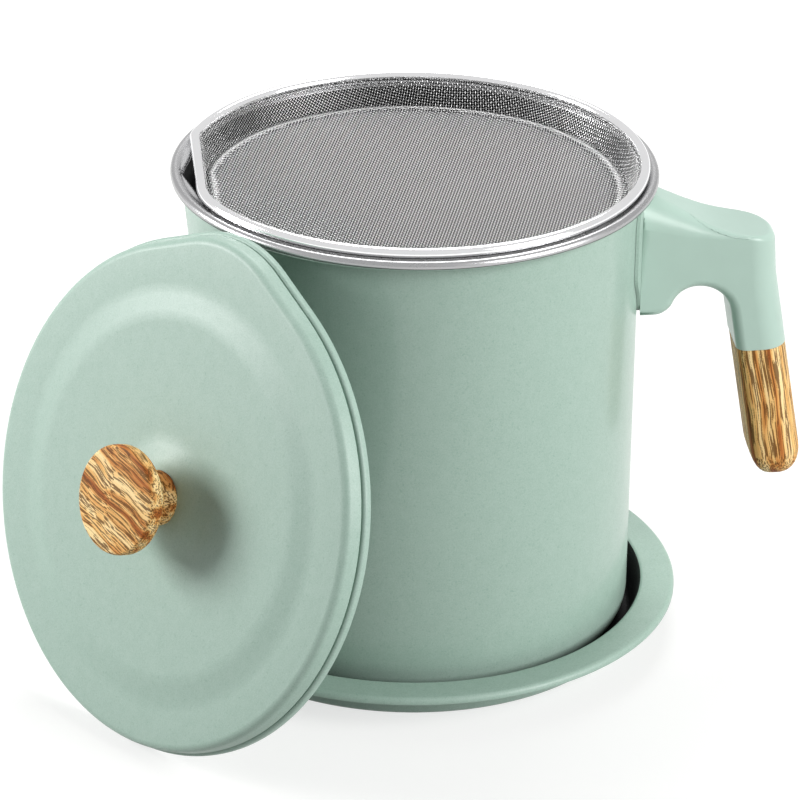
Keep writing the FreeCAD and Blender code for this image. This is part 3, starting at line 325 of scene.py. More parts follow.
@dataclass(frozen=True)
class DarkLining:
    """Dark non-stick lining inside the pot and in the tray's well; its own dark coat is taken
    near-black to paint the shade inside them.
    """

    name: str
    colour: Colour
    fleck: Colour = srgb(74, 76, 76)
    roughness: float = 0.58
    grain: float = 1900.0
    peel: float = 0.000012

    def material(self) -> Material:
        """Build the lining's nodes.

        Returns:
            The material.
        """
        desk = Desk.of_material(self.name)
        here = desk.place()
        flecks = desk.noise(here, self.grain, 2.0, 0.6)
        return desk.finish(
            base_color=desk.mix_colours(desk.mask(flecks, 0.55, 0.75), self.colour, self.fleck),
            roughness=self.roughness + (flecks - 0.5) * 0.2,
            specular_ior_level=0.15,
            normal=desk.bump(flecks, self.peel),
        )


@dataclass(frozen=True)
class Steel:
    """Bare or plated metal with fine drawing lines around the Z axis."""

    name: str
    colour: Colour
    roughness: float = 0.14
    lines: float = 0.02
    line_stretch: float = 14.0
    drawing: float = 420.0
    clouds: float = 60.0
    relief: float = 0.000003
    tarnish: Colour = srgb(150, 150, 152)
    tarnish_share: float = 0.12

    def material(self) -> Material:
        """Build the metal's nodes.

        Returns:
            The material.
        """
        desk = Desk.of_material(self.name)
        here = desk.place(stretch=(1.0, 1.0, self.line_stretch))
        drawn = desk.noise(here, self.drawing, 3.0, 0.6)
        cloud = desk.noise(desk.place(), self.clouds, 2.0, 0.5)
        return desk.finish(
            base_color=desk.mix_colours(cloud * self.tarnish_share, self.colour, self.tarnish),
            metallic=1.0,
            roughness=self.roughness + (drawn - 0.5) * self.lines + (cloud - 0.5) * 0.05,
            normal=desk.bump(drawn, self.relief),
        )


@dataclass(frozen=True)
class CrimpedWire:
    """Woven steel wire with painted light: a painted highlight on the crests of the weave and
    painted shade in its valleys.
    """

    name: str
    # crest is the colour of the painted highlight, and the next colour is that of the painted
    # shade.
    crest: Colour
    painted_valley_shade: Colour
    roughness: float = 0.3

    def material(self) -> Material:
        """Build the wire's nodes, which read the mark of the points that take the painted
        highlight.

        Returns:
            The material.
        """
        desk = Desk.of_material(self.name)
        # The mark is 1 where the wire takes the painted highlight and 0 where it takes the painted
        # shade.
        high = desk.add("Attribute", {"attribute_name": PAINTED_HIGHLIGHT_MARK}, None, "Fac")
        return desk.finish(
            base_color=desk.mix_colours(desk.mask(high, 0.3, 0.9), self.painted_valley_shade, self.crest),
            metallic=1.0,
            roughness=self.roughness,
        )


@dataclass(frozen=True)
class WoodPrint:
    """Satin wood print: tan ground, red-brown bands and fine dark fibres along one direction."""

    name: str
    turn: Vector
    centre: Vector
    sway: float = 0.0012
    waves: float = 55.0
    bands: float = 300.0
    fibres: float = 2300.0
    stretch: float = 0.022
    relief: float = 0.00003
    tones: tuple[tuple[float, Colour], ...] = (
        (0.34, srgb(166, 92, 40)), (0.42, srgb(212, 146, 78)),
        (0.50, srgb(240, 192, 120)), (0.62, srgb(252, 222, 164)),
    )
    dark: Colour = srgb(100, 62, 26)
    dark_share: float = 0.88

    def material(self) -> Material:
        """Build the print's nodes, with the grain along the turned Z axis.

        Returns:
            The material.
        """
        desk = Desk.of_material(self.name)
        here = desk.place(self.turn, self.centre)
        wander = desk.add(
            "TexNoise", None, {"Vector": here, "Scale": self.waves, "Detail": 1.5}, "Color")
        shift = desk.vector("SUBTRACT", wander, (0.5, 0.5, 0.5))
        shift = desk.vector("MULTIPLY", shift, (self.sway * 2, self.sway * 2, 0.0))
        bent = desk.vector("ADD", here, shift)
        along = desk.vector("MULTIPLY", bent, (1.0, 1.0, self.stretch))
        band = desk.noise(along, self.bands, 2.0, 0.55)
        fibre = desk.noise(along, self.fibres, 1.5, 0.5)
        pore = desk.noise(bent, self.fibres * 1.5, 2.0, 0.6)
        ground = desk.ramp(band, *self.tones)
        lines = desk.mask(fibre + (pore - 0.5) * 0.25, 0.48, 0.57)
        return desk.finish(
            base_color=desk.mix_colours(lines * self.dark_share, ground, self.dark),
            roughness=0.5 + fibre * 0.1,
            specular_ior_level=0.15,
            normal=desk.bump(fibre, self.relief),
        )


SAGE = srgb(164, 187, 175)
SAGE_SHADE = srgb(138, 167, 152)
MOULDED_SAGE = srgb(176, 201, 189)


class Finish(Enum):
    """Every finish of the container."""

    PAINT = SatinPaint("sage_paint", SAGE, SAGE_SHADE)
    POT_PAINT = SatinPaint("sage_pot_paint", SAGE, SAGE_SHADE, 0.42, 0.38, 0.13)
    MOULDING = SmoothMoulding("sage_moulding", MOULDED_SAGE, SAGE)
    # The lining's own dark coat, taken near-black as painted shade inside the pot and the tray's
    # well.
    LINING_WITH_PAINTED_SHADE = DarkLining("dark_lining_painted_shade", srgb(24, 25, 25))
    BARE_RIM = Steel("bare_rim", srgb(176, 176, 177), 0.27)
    # Dark band that paints the shadow line under the bare rim's edge.
    PAINTED_SHADOW_LINE = DarkLining("painted_shadow_line", srgb(70, 76, 73))
    POLISHED = Steel("polished_ring", srgb(248, 248, 249), 0.09)
    # Painted highlight colour for the crests, painted shade colour for the valleys.
    WIRE = CrimpedWire("drawn_wire_painted_light", srgb(222, 222, 222), srgb(46, 46, 47))
    ZINC = Steel("zinc_fastener", srgb(176, 180, 186), 0.28)
    BRASS = Steel("turned_brass", srgb(206, 166, 92), 0.25)


# ---- mesh making


def weld(bm: BMesh) -> None:
    """Merge doubled vertices and turn the faces outwards."""
    bmesh.ops.remove_doubles(bm, verts=bm.verts[:], dist=WELD)
    bmesh.ops.recalc_face_normals(bm, faces=bm.faces[:])


def drawn_bar(sides: int, radius: float, step: float, steps: int) -> BMesh:
    """Draw a ring along the Z axis in equal steps and leave both ends open.

    Args:
        sides: the ring's number of sides.
        radius: its radius.
        step: the length of a step.
        steps: the number of steps.

    Returns:
        The open bar.
    """
    bm = bmesh.new()
    ring = bmesh.ops.create_circle(bm, segments=sides, radius=radius, cap_ends=False)["verts"]
    edges = [edge for vert in ring for edge in vert.link_edges]
    bmesh.ops.spin(
        bm, geom=list(dict.fromkeys(ring + edges)), axis=Z_AXIS, dvec=(0.0, 0.0, step),
        steps=steps,
    )
    return bm


def link_object(name: str, data: object) -> Object:
    """Add an object to the scene.

    Args:
        name: its name.
        data: its mesh, lamp or camera.

    Returns:
        The object.
    """
    item = bpy.data.objects.new(name, data)
    bpy.context.scene.collection.objects.link(item)
    return item


class Section:
    """A cross-section in the XZ plane, drawn from point to point, then turned about Z."""

    def __init__(self, radius: float, height: float) -> None:
        """Start at a point.

        Args:
            radius: its distance from the axis.
            height: its height.
        """
        self.bm = bmesh.new()
        self.last = self.bm.verts.new((radius, 0.0, height))
        self.roundings: list[tuple[BMVert, float]] = []

    def to(self, radius: float, height: float, rounding: float = 0.0) -> "Section":
        """Draw a straight side to a point.

        Args:
            radius: the point's distance from the axis.
            height: its height.
            rounding: the radius of its corner, or 0 for a sharp one.

        Returns:
            The section itself.
        """
        vert = self.bm.verts.new((radius, 0.0, height))
        self.bm.edges.new((self.last, vert))
        self.last = vert
        if rounding:
            self.roundings.append((vert, rounding))
        return self

    def swing(self, radius: float, height: float, degrees: float, steps: int = 16) -> "Section":
        """Draw an arc about a centre.

        Args:
            radius: the centre's distance from the axis.
            height: its height.
            degrees: the arc's angle, positive from +Z towards +X.
            steps: the number of its sides.

        Returns:
            The section itself.
        """
        made = bmesh.ops.spin(
            self.bm, geom=[self.last], cent=(radius, 0.0, height), axis=(0.0, 1.0, 0.0),
            angle=math.radians(degrees), steps=steps,
        )
        self.last = [item for item in made["geom_last"] if isinstance(item, BMVert)][0]
        return self

    def close(self) -> "Section":
        """Join the last point to the first.

        Returns:
            The section itself.
        """
        self.bm.verts.ensure_lookup_table()
        self.bm.edges.new((self.last, self.bm.verts[0]))
        return self

    def turned(self, steps: int = 240, segments: int = 6) -> BMesh:
        """Round the corners and turn the section a full circle.

        Args:
            steps: faces around the circle.
            segments: faces in each rounded corner.

        Returns:
            The closed mesh.
        """
        for vert, rounding in self.roundings:
            ends = [edge.other_vert(vert).co - vert.co for edge in vert.link_edges]
            reach = rounding / math.tan(ends[0].angle(ends[1]) / 2)
            bmesh.ops.bevel(
                self.bm, geom=[vert], offset=reach, offset_type="OFFSET", segments=segments,
                profile=0.5, affect="VERTICES", material=-1,
            )
        bmesh.ops.spin(
            self.bm, geom=self.bm.verts[:] + self.bm.edges[:], axis=Z_AXIS, angle=math.tau,
            steps=steps, use_merge=True,
        )
        weld(self.bm)
        return self.bm


@dataclass(frozen=True)
class BeltOutline:
    """A circle that runs out along two tangents to a round tip on +X."""

    radius: float
    reach: float
    tip_round: float

    def at(self, angle: float, inset: float) -> float:
        """Give the outline's distance from the centre.

        Args:
            angle: the direction, in radians from +X.
            inset: how far the outline is moved in.

        Returns:
            The distance.
        """
        big, small = self.radius - inset, self.tip_round - inset
        centre = self.reach - self.tip_round
        turn = abs(math.remainder(angle, math.tau))
        leave = math.acos((big - small) / centre)
        if turn >= leave:
            return big
        if turn >= math.atan2(small * math.sin(leave), centre + small * math.cos(leave)):
            return big / math.cos(leave - turn)
        return centre * math.cos(turn) + math.sqrt(small ** 2 - (centre * math.sin(turn)) ** 2)


@dataclass(frozen=True)
class FlatOutline:
    """A circle with one straight side across -X, a tight corner on +Y and a wide one on -Y."""

    radius: float
    flat: float
    corner: float
    wide_corner: float

    def at(self, angle: float, inset: float) -> float:
        """Give the outline's distance from the centre.

        Args:
            angle: the direction, in radians from +X.
            inset: how far the outline is moved in.

        Returns:
            The distance.
        """
        turn = math.remainder(angle - math.pi, math.tau)
        corner = self.corner if turn < 0 else self.wide_corner
        turn = abs(turn)
        reach = self.radius - corner
        across = self.flat - corner
        aside = math.sqrt(reach ** 2 - across ** 2)
        leave = math.atan2(aside, across)
        if turn >= leave:
            return self.radius - inset
        if turn <= math.atan2(aside, self.flat - inset):
            return (self.flat - inset) / math.cos(turn)
        swing = turn - leave
        return reach * math.cos(swing) + math.sqrt(
            (corner - inset) ** 2 - (reach * math.sin(swing)) ** 2)


@dataclass(frozen=True)
class SpoutOutline:
    """A circle with a pointed spout on -X between two flats."""

    radius: float
    half_angle: float

    def at(self, angle: float, share: float) -> float:
        """Give the wall's distance from the axis.

        Args:
            angle: the direction, in radians from +X.
            share: how far the spout has opened, from 0 to 1.

        Returns:
            The distance.
        """
        turn = abs(math.remainder(angle - math.pi, math.tau))
        if turn >= self.half_angle or share <= 0:
            return self.radius
        tip = self.radius * (1 + share * (1 / math.cos(self.half_angle) - 1))
        slope = (tip - self.radius * math.cos(self.half_angle)) / (
            self.radius * math.sin(self.half_angle))
        return max(self.radius, tip / (math.cos(turn) + slope * math.sin(turn)))


def move_radially(bm: BMesh, rule: Callable[[float, float, float], float]) -> None:
    """Move every vertex towards or away from the Z axis.

    Args:
        bm: the mesh.
        rule: gives the new distance for a vertex's distance, angle and height.
    """
    for vert in bm.verts:
        reach = math.hypot(vert.co.x, vert.co.y)
        if reach < WELD:
            continue
        angle = math.atan2(vert.co.y, vert.co.x)
        target = rule(reach, angle, vert.co.z)
        vert.co.x *= target / reach
        vert.co.y *= target / reach


@dataclass(frozen=True)
class Piece:
    """Turns a bmesh into a dressed object that rides on its body."""

    name: str
    body: str
    slot: str

    def make(
        self, bm: BMesh, finishes: Iterable[Material],
        replaces: Sequence[str] = (), sharp: float = 40.0,
    ) -> Object:
        """Make the object.

        Args:
            bm: the finished mesh, which is freed.
            finishes: its materials, in the order of its faces' indices.
            replaces: the CAD nodes that it stands for.
            sharp: the angle in degrees above which an edge stays sharp.

        Returns:
            The object.
        """
        mesh = bpy.data.meshes.new(self.name)
        bm.to_mesh(mesh)
        bm.free()
        for material in finishes:
            mesh.materials.append(material)
        mesh.shade_smooth()
        mesh.set_sharp_from_angle(angle=math.radians(sharp))
        item = link_object(self.name, mesh)
        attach(item, self.body)
        if replaces:
            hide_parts(*replaces)
        LOG.info("%s: %d faces, on %s", self.name, len(mesh.polygons), self.body)
        return item


@dataclass(frozen=True)
class Facing:
    """Where a face lies and which way it looks, in terms of the Z axis."""

    reach: float
    height: float
    outward: float
    upward: float

    def looks_in(self) -> bool:
        """Tell whether the face looks up or towards the axis."""
        return self.upward > 0.2 or self.outward < -0.2


def paint_faces(bm: BMesh, index: int, test: Callable[[Facing], bool]) -> None:
    """Give a material index to the faces that pass a test.

    Args:
        bm: the mesh.
        index: the index.
        test: tells whether a face takes it.
    """
    bm.normal_update()
    for face in bm.faces:
        middle = face.calc_center_median()
        reach = math.hypot(middle.x, middle.y)
        outward = (face.normal.x * middle.x + face.normal.y * middle.y) / max(reach, WELD)
        if test(Facing(reach, middle.z, outward, face.normal.z)):
            face.material_index = index


def dress_nodes(material: Material, *nodes: str) -> None:
    """Give a finish to CAD nodes that stay.

    Args:
        material: the finish.
        nodes: the nodes' names.
    """
    for node in nodes:
        mesh = frame["nodes"][node].data
        mesh.materials.clear()
        mesh.materials.append(material)
        LOG.info("%s: carried over in %s", node, material.name)


# ---- the pieces


@dataclass
class Tray:
    """The drip tray under the pot."""

    sheet: float = 0.0008
    foot: float = 0.0684
    mouth: float = 0.0711
    radius: float = 0.0817
    height: float = 0.0125
    bend: float = 0.0016
    hem: float = 0.0022
    edge: float = 0.00022
    lining_edge: float = 0.0004

    def build(self) -> None:
        """Turn the tray and line its well, with a lining dark enough to paint the shade in it."""
        sheet, bend = self.sheet, self.bend
        under = self.height - sheet
        hem = self.height - self.hem
        bm = (
            Section(0.0, 0.0)
            .to(self.foot + sheet, 0.0, bend + sheet)
            .to(self.mouth + sheet, under, bend - sheet)
            .to(self.radius - sheet, under, bend - sheet)
            .to(self.radius - sheet, hem, self.edge)
            .to(self.radius, hem, self.edge)
            .to(self.radius, self.height, bend)
            .to(self.mouth, self.height, bend)
            .to(self.foot, sheet, bend)
            .to(0.0, sheet)
            .turned()
        )
        lined = self.mouth + self.lining_edge
        paint_faces(bm, 1, lambda at: at.reach < lined and at.looks_in())
        Piece("drip_tray", "tray", "green_paint").make(
            bm, (Finish.PAINT.value.material(), Finish.LINING_WITH_PAINTED_SHADE.value.material()), ("tray",),
        )


@dataclass
class Pot:
    """The can with its ledge, rolled rim and pour spout."""

    base: float = 0.0011
    sheet: float = 0.0007
    radius: float = 0.067
    height: float = 0.14735
    corner: float = 0.010
    ledge_drop: float = 0.00075
    ledge_bend: float = 0.0015
    curl: float = 0.0015
    curl_reach: float = 0.0037
    crest_lean: float = 24.0
    crease_round: float = 0.0022
    paint_drop: float = 0.0003
    shadow_line_width: float = 0.0003
    rim_facing: float = 0.25
    below_ledge: float = 0.02
    spout_angle: float = math.radians(14.6)
    spout_depth: float = 0.013
    wall_slack: float = 1.5

    def build(self) -> None:
        """Turn the can, press its spout, paint its inside with the dark lining that also paints its
        shade, and paint its rim, with a painted shadow line under the bare rim's edge.
        """
        sheet, inner = self.sheet, self.radius - self.sheet
        ledge = self.height - self.ledge_drop
        under = ledge - sheet
        curl_at, curl_up = self.radius + self.curl_reach, self.height - self.curl
        low = math.degrees(math.asin((under - curl_up) / self.curl))
        start = curl_at - self.curl * math.cos(math.radians(low))
        crest, lean = 90.0 - self.crest_lean, math.radians(self.crest_lean)
        crease = curl_at - self.curl * math.sin(lean) - (
            self.ledge_drop - self.curl * (1 - math.cos(lean))) / math.tan(lean)
        section = (
            Section(0.0, self.base)
            .to(self.radius, self.base, self.corner)
            .to(self.radius, under - self.below_ledge)
            .to(self.radius, under, self.ledge_bend - sheet)
            .to(start, under)
            .swing(curl_at, curl_up, -(360.0 - crest + low), 30)
            .to(crease, ledge, self.crease_round)
            .to(inner, ledge, self.ledge_bend)
            .to(inner, ledge - self.below_ledge)
            .to(inner, self.base + sheet, self.corner - sheet)
            .to(0.0, self.base + sheet)
        )
        bm = section.turned(steps=288, segments=10)
        self.press_spout(bm, ledge, curl_at - self.curl)
        edge, shadow_line_foot = curl_up - self.paint_drop, curl_up - self.paint_drop - self.shadow_line_width
        paint_faces(bm, 1, lambda at: at.reach < curl_at - self.curl and at.height < ledge
                    and at.looks_in())
        paint_faces(bm, 2, lambda at: (at.height > curl_up and at.upward > self.rim_facing)
                    or (at.reach > curl_at and at.height > edge))
        # A thin dark band under the bare rim's edge: a painted shadow line.
        paint_faces(bm, 3, lambda at: at.reach > curl_at and shadow_line_foot < at.height <= edge)
        Piece("grease_pot", "pot", "green_paint").make(
            bm,
            (Finish.POT_PAINT.value.material(), Finish.LINING_WITH_PAINTED_SHADE.value.material(),
             Finish.BARE_RIM.value.material(), Finish.PAINTED_SHADOW_LINE.value.material()),
            ("pot_body",),
        )

    def press_spout(self, bm: BMesh, ledge: float, ledge_end: float) -> None:
        """Push the wall out to the spout between its two flats.

        Args:
            bm: the can's mesh.
            ledge: the ledge's height.
            ledge_end: the ledge's outer distance from the axis.
        """
        foot = ledge - self.spout_depth
        inside = self.radius - self.sheet * self.wall_slack
        outline = SpoutOutline(self.radius, self.spout_angle)

        def rule(reach: float, angle: float, height: float) -> float:
            """Give a vertex's new distance from the axis."""
            if height < foot or not inside <= reach < ledge_end:
                return reach
            share = min(1.0, (height - foot) / self.spout_depth)
            push = outline.at(angle, share) - self.radius
            fade = min(1.0, max(0.0, (ledge_end - reach) / (ledge_end - self.radius)))
            return reach + push * fade if reach > self.radius else reach + push

        move_radially(bm, rule)


@dataclass
class Strainer:
    """The strainer: a polished ring and a basket woven of steel wire."""

    ring_radius: float = 0.0679
    ring_flat: float = 0.0638
    ring_corner: float = 0.008
    ring_wide_corner: float = 0.034
    ring_height: float = 0.1485
    tube: float = 0.0016
    basket_depth: float = 0.0082
    edge_inset: float = 0.0016
    floor_inset: float = 0.0047
    least_run: float = 0.0004
    ridge_inset: float = 0.0005
    ridge_width: float = 0.0040
    ridge_height: float = 0.0006
    pitch: float = 0.00085
    wire: float = 0.00013
    crimp: float = 0.00013
    heading: float = math.radians(75.7)
    # Share of the ridge's rise above which the wires take the painted highlight.
    ridge_painted_highlight: float = 0.5
    ring_sides: int = 48
    wire_sides: int = 4
    outline: FlatOutline = field(init=False)

    def __post_init__(self) -> None:
        """Work out the ring's outline."""
        self.outline = FlatOutline(
            self.ring_radius, self.ring_flat, self.ring_corner, self.ring_wide_corner)

    def build_ring(self) -> None:
        """Turn the tube and lead it along the ring's outline."""
        section = Section(self.ring_radius + self.tube, self.ring_height)
        steps = self.ring_sides - 1
        section.swing(self.ring_radius, self.ring_height, 360.0 * steps / self.ring_sides, steps)
        bm = section.close().turned(steps=360)
        move_radially(
            bm, lambda reach, angle, height: self.outline.at(angle, self.ring_radius - reach))
        Piece("strainer_ring", "strainer", "polished_steel").make(
            bm, (Finish.POLISHED.value.material(),), ("strainer_rim",), sharp=80.0,
        )

    def fold_at(self, angle: float) -> float:
        """Give the floor's edge: a circle, pulled in where the ring's straight side cuts it."""
        edge = self.outline.at(angle, self.edge_inset)
        return min(self.ring_radius - self.floor_inset, edge - self.least_run)

    def ridge_at(self, flat: Vector) -> float:
        """Give how far the ridge inside the floor's edge has risen.

        Args:
            flat: the point on the mesh before it is pressed.

        Returns:
            The share of its height, from 0 to 1.
        """
        beyond = flat.length - self.fold_at(math.atan2(flat.y, flat.x))
        share = (beyond + self.ridge_inset + self.ridge_width) / self.ridge_width
        return math.sin(math.pi * share) ** 2 if 0 < share < 1 else 0.0

    def sheet_point(self, flat: Vector, side: float) -> Vector:
        """Fold a point of the flat mesh into the basket.

        Args:
            flat: the point on the mesh before it is pressed.
            side: its height above the sheet's middle.

        Returns:
            Its place in the basket.
        """
        reach, angle = flat.length, math.atan2(flat.y, flat.x)
        fold = self.fold_at(angle)
        floor = self.ring_height - self.basket_depth
        beyond = reach - fold
        if beyond <= 0:
            return Vector((flat.x, flat.y, floor + side + self.ridge_height * self.ridge_at(flat)))
        run = self.outline.at(angle, self.edge_inset) - fold
        length = self.slope_length(angle)
        outward = Vector((math.cos(angle), math.sin(angle), 0.0))
        return (
            outward * (fold + (run * beyond - self.basket_depth * side) / length)
            + Z_AXIS * (floor + (self.basket_depth * beyond + run * side) / length)
        )

    def slope_length(self, angle: float) -> float:
        """Give the length of the basket's side at an angle, measured up the slope."""
        run = self.outline.at(angle, self.edge_inset) - self.fold_at(angle)
        return math.hypot(run, self.basket_depth)

    def most_wires(self) -> int:
        """Count the wires on one side of the middle that can reach the basket's edge."""
        return int((self.ring_radius + self.basket_depth) / self.pitch)

    def crossings(self, number: int, along: Vector, aside: Vector) -> list[int]:
        """List the crossings of a wire that lie inside the basket's upper edge.

        Args:
            number: the wire's number, counted from the middle.
            along: the wires' direction.
            aside: the direction from wire to wire.

        Returns:
            The numbers of those crossings, in order.
        """
        most = self.most_wires()
        held = []
        for step in range(-most, most + 1):
            flat = (aside * number + along * step) * self.pitch
            angle = math.atan2(flat.y, flat.x)
            if flat.length - self.fold_at(angle) < self.slope_length(angle):
                held.append(step)
        return held

    def weave(self, heading: float, over: int) -> BMesh:
        """Lay parallel crimped wires across the flat mesh and fold them into the basket.

        Args:
            heading: the wires' direction.
            over: 0 or 1, which of the crossings the wires pass over.

        Returns:
            The mesh of all the wires.
        """
        along = Vector((math.cos(heading), math.sin(heading), 0.0))
        aside = Vector((-along.y, along.x, 0.0))
        most = self.most_wires()
        carrier = bpy.data.meshes.new("strand")
        bm = bmesh.new()
        bm.verts.layers.float.new(PAINTED_HIGHLIGHT_MARK)
        for number in range(-most, most + 1):
            steps = self.crossings(number, along, aside)
            if len(steps) < 2:
                continue
            strand = self.straight_strand(len(steps))
            height = strand.verts.layers.float.new(PAINTED_HIGHLIGHT_MARK)
            for vert in strand.verts:
                step = steps[0] + round(vert.co.z)
                crimp = self.crimp if (step + number + over) % 2 else -self.crimp
                flat = along * (step * self.pitch) + aside * (number * self.pitch + vert.co.x)
                vert.co = self.sheet_point(flat, vert.co.y + crimp)
                # Mark the crests that pass over a crossing, and the wires on the ridge, for the
                # painted highlight; the rest takes painted shade.
                vert[height] = max(float(crimp > 0), float(self.ridge_at(flat) > self.ridge_painted_highlight))
            bmesh.ops.recalc_face_normals(strand, faces=strand.faces[:])
            strand.to_mesh(carrier)
            strand.free()
            bm.from_mesh(carrier)
        bpy.data.meshes.remove(carrier)
        return bm

    def straight_strand(self, stations: int) -> BMesh:
        """Draw a straight closed wire up from the origin.

        Args:
            stations: the number of its rings, which lie at whole numbers.

        Returns:
            The wire's mesh.
        """
        strand = drawn_bar(self.wire_sides, self.wire, 1.0, stations - 1)
        open_edges = [edge for edge in strand.edges if edge.is_boundary]
        bmesh.ops.holes_fill(strand, edges=open_edges, sides=self.wire_sides)
        return strand

    def build_basket(self) -> None:
        """Weave the basket of two sets of wires that pass over and under each other."""
        finish = Finish.WIRE.value.material()
        for over, (name, turn) in enumerate((("warp", 0.0), ("weft", math.pi / 2))):
            Piece(f"strainer_{name}_wires", "strainer", "steel_wire").make(
                self.weave(self.heading + turn, over), (finish,), ("strainer_mesh",), sharp=120.0,
            )


@dataclass
class Lean:
    """Where the lid leans: its axis from its joint and its place from the washer on that axis."""

    roll: float = math.radians(2.0)
    washer_height: float = 0.0103
    matrix: Matrix = field(init=False)
    turn: Matrix = field(init=False)

    def __post_init__(self) -> None:
        """Work out the matrix from the lid's own frame to the container's."""
        joint = [item for item in frame["joints"] if item["child"] == "lid"][0]
        normal = Vector(joint["axis"]).normalized()
        sideways = Z_AXIS.cross(normal).normalized()
        upward = Matrix.Rotation(-self.roll, 3, normal) @ normal.cross(sideways)
        across = normal.cross(upward)
        self.turn = Matrix((upward, across, normal)).transposed()
        low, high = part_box("knob_washer")
        centre = (low + high) / 2 - normal * self.washer_height
        self.matrix = Matrix.Translation(centre) @ self.turn.to_4x4()


@dataclass
class Lid:
    """The pressed lid with its rolled lip, groove, stepped panel and boss."""

    radius: float = 0.07485
    reach: float = 0.0785
    tip_round: float = 0.0395
    sheet: float = 0.0007
    lip: float = 0.0019
    lip_height: float = 0.0029
    groove_inset: float = 0.00145
    groove_top: float = 0.0033
    skirt_inset: float = 0.00085
    shoulder_inset: float = 0.00175
    shoulder: float = 0.0085
    bend: float = 0.0025
    panel: float = 0.0602
    step: float = 0.0078
    panel_height: float = 0.0099
    boss: float = 0.0175
    seat: float = 0.0095
    boss_height: float = 0.0114
    panel_bend: float = 0.02
    crisp: float = 0.0003
    groove_slant: float = 0.0002
    lip_slant: float = 0.0001
    hole: float = 0.00225

    def build(self, lean: Lean) -> None:
        """Turn the lid, draw out its spout cover and lean it.

        Args:
            lean: where the lid leans.
        """
        sheet, half = self.sheet, self.lip / 2
        skin = self.radius - self.skirt_inset
        inner = self.panel - self.step
        outer = self.radius - self.shoulder_inset
        groove = self.radius - self.groove_inset
        lip_at = self.radius - half
        section = (
            Section(self.hole, self.boss_height)
            .to(self.seat, self.boss_height, self.panel_bend)
            .to(self.boss, self.panel_height, self.panel_bend + sheet)
            .to(inner, self.panel_height, self.panel_bend + sheet)
            .to(self.panel, self.shoulder, self.panel_bend)
            .to(outer, self.shoulder, self.bend)
            .to(skin, self.groove_top, self.crisp)
            .to(groove, self.groove_top - self.groove_slant, self.groove_slant)
            .to(groove, self.lip_height - self.lip_slant)
            .to(lip_at, self.lip_height)
            .swing(lip_at, self.lip_height - half, 90.0, 8)
            .to(self.radius, half)
            .swing(lip_at, half, 180.0)
            .to(self.radius - self.lip, self.lip_height - half)
            .swing(lip_at, self.lip_height - half, 40.0, 4)
            .to(groove - sheet, self.groove_top + sheet, self.crisp)
            .to(skin - sheet, self.groove_top + sheet, self.crisp)
            .to(outer - sheet, self.shoulder - sheet, self.bend - sheet)
            .to(self.panel, self.shoulder - sheet, self.panel_bend)
            .to(inner, self.panel_height - sheet, self.panel_bend)
            .to(self.boss - sheet, self.panel_height - sheet, self.panel_bend)
            .to(self.seat - sheet, self.boss_height - sheet, self.panel_bend - sheet)
            .to(self.hole, self.boss_height - sheet)
            .close()
        )
        bm = section.turned(steps=288, segments=8)
        outline = BeltOutline(self.radius, self.reach, self.tip_round)
        flat_end = outer - self.bend

        def rule(reach: float, angle: float, height: float) -> float:
            """Give a vertex's new distance from the axis."""
            if reach <= self.panel:
                return reach
            inset = self.radius - reach
            if reach >= flat_end:
                return outline.at(angle, inset)
            share = (reach - self.panel) / (flat_end - self.panel)
            return reach + (outline.at(angle, self.radius - flat_end) - flat_end) * share

        move_radially(bm, rule)
        bm.transform(lean.matrix)
        Piece("pressed_lid", "lid", "green_paint").make(
            bm, (Finish.PAINT.value.material(),), ("lid_shell",), sharp=50.0,
        )


@dataclass
class Knob:
    """The lid's mushroom knob."""

    seat: float = 0.0114
    collar: float = 0.008
    collar_height: float = 0.0015
    neck: float = 0.0065
    neck_start: float = 0.0034
    neck_end: float = 0.0066
    radius: float = 0.0158
    under: float = 0.0126
    edge: float = 0.0169
    height: float = 0.0176
    grain: float = 9.0
    sway: float = 0.003
    foot_round: float = 0.0002
    collar_round: float = 0.0006
    neck_round: float = 0.0012
    flare_round: float = 0.0035
    under_round: float = 0.0016
    edge_round: float = 0.0012

    def build(self, lean: Lean) -> None:
        """Turn the knob and set it on the lid's boss.

        Args:
            lean: where the lid leans.
        """
        bm = (
            Section(0.0, 0.0)
            .to(self.collar, 0.0, self.foot_round)
            .to(self.collar, self.collar_height, self.collar_round)
            .to(self.neck, self.neck_start, self.neck_round)
            .to(self.neck, self.neck_end, self.flare_round)
            .to(self.radius, self.under, self.under_round)
            .to(self.radius, self.edge, self.edge_round)
            .to(0.0, self.height)
            .turned(steps=160, segments=8)
        )
        bm.transform(lean.matrix @ Matrix.Translation(Z_AXIS * self.seat))
        print_turn = (lean.turn @ Matrix.Rotation(math.radians(-self.grain), 3, "Z")
                      @ Matrix.Rotation(math.radians(90.0), 3, "X")).inverted().to_euler()
        finish = WoodPrint(
            "knob_print", Vector(print_turn), lean.matrix.translation, sway=self.sway)
        Piece("wood_knob", "lid", "wood_print").make(
            bm, (finish.material(),), ("lid_knob",), sharp=50.0,
        )


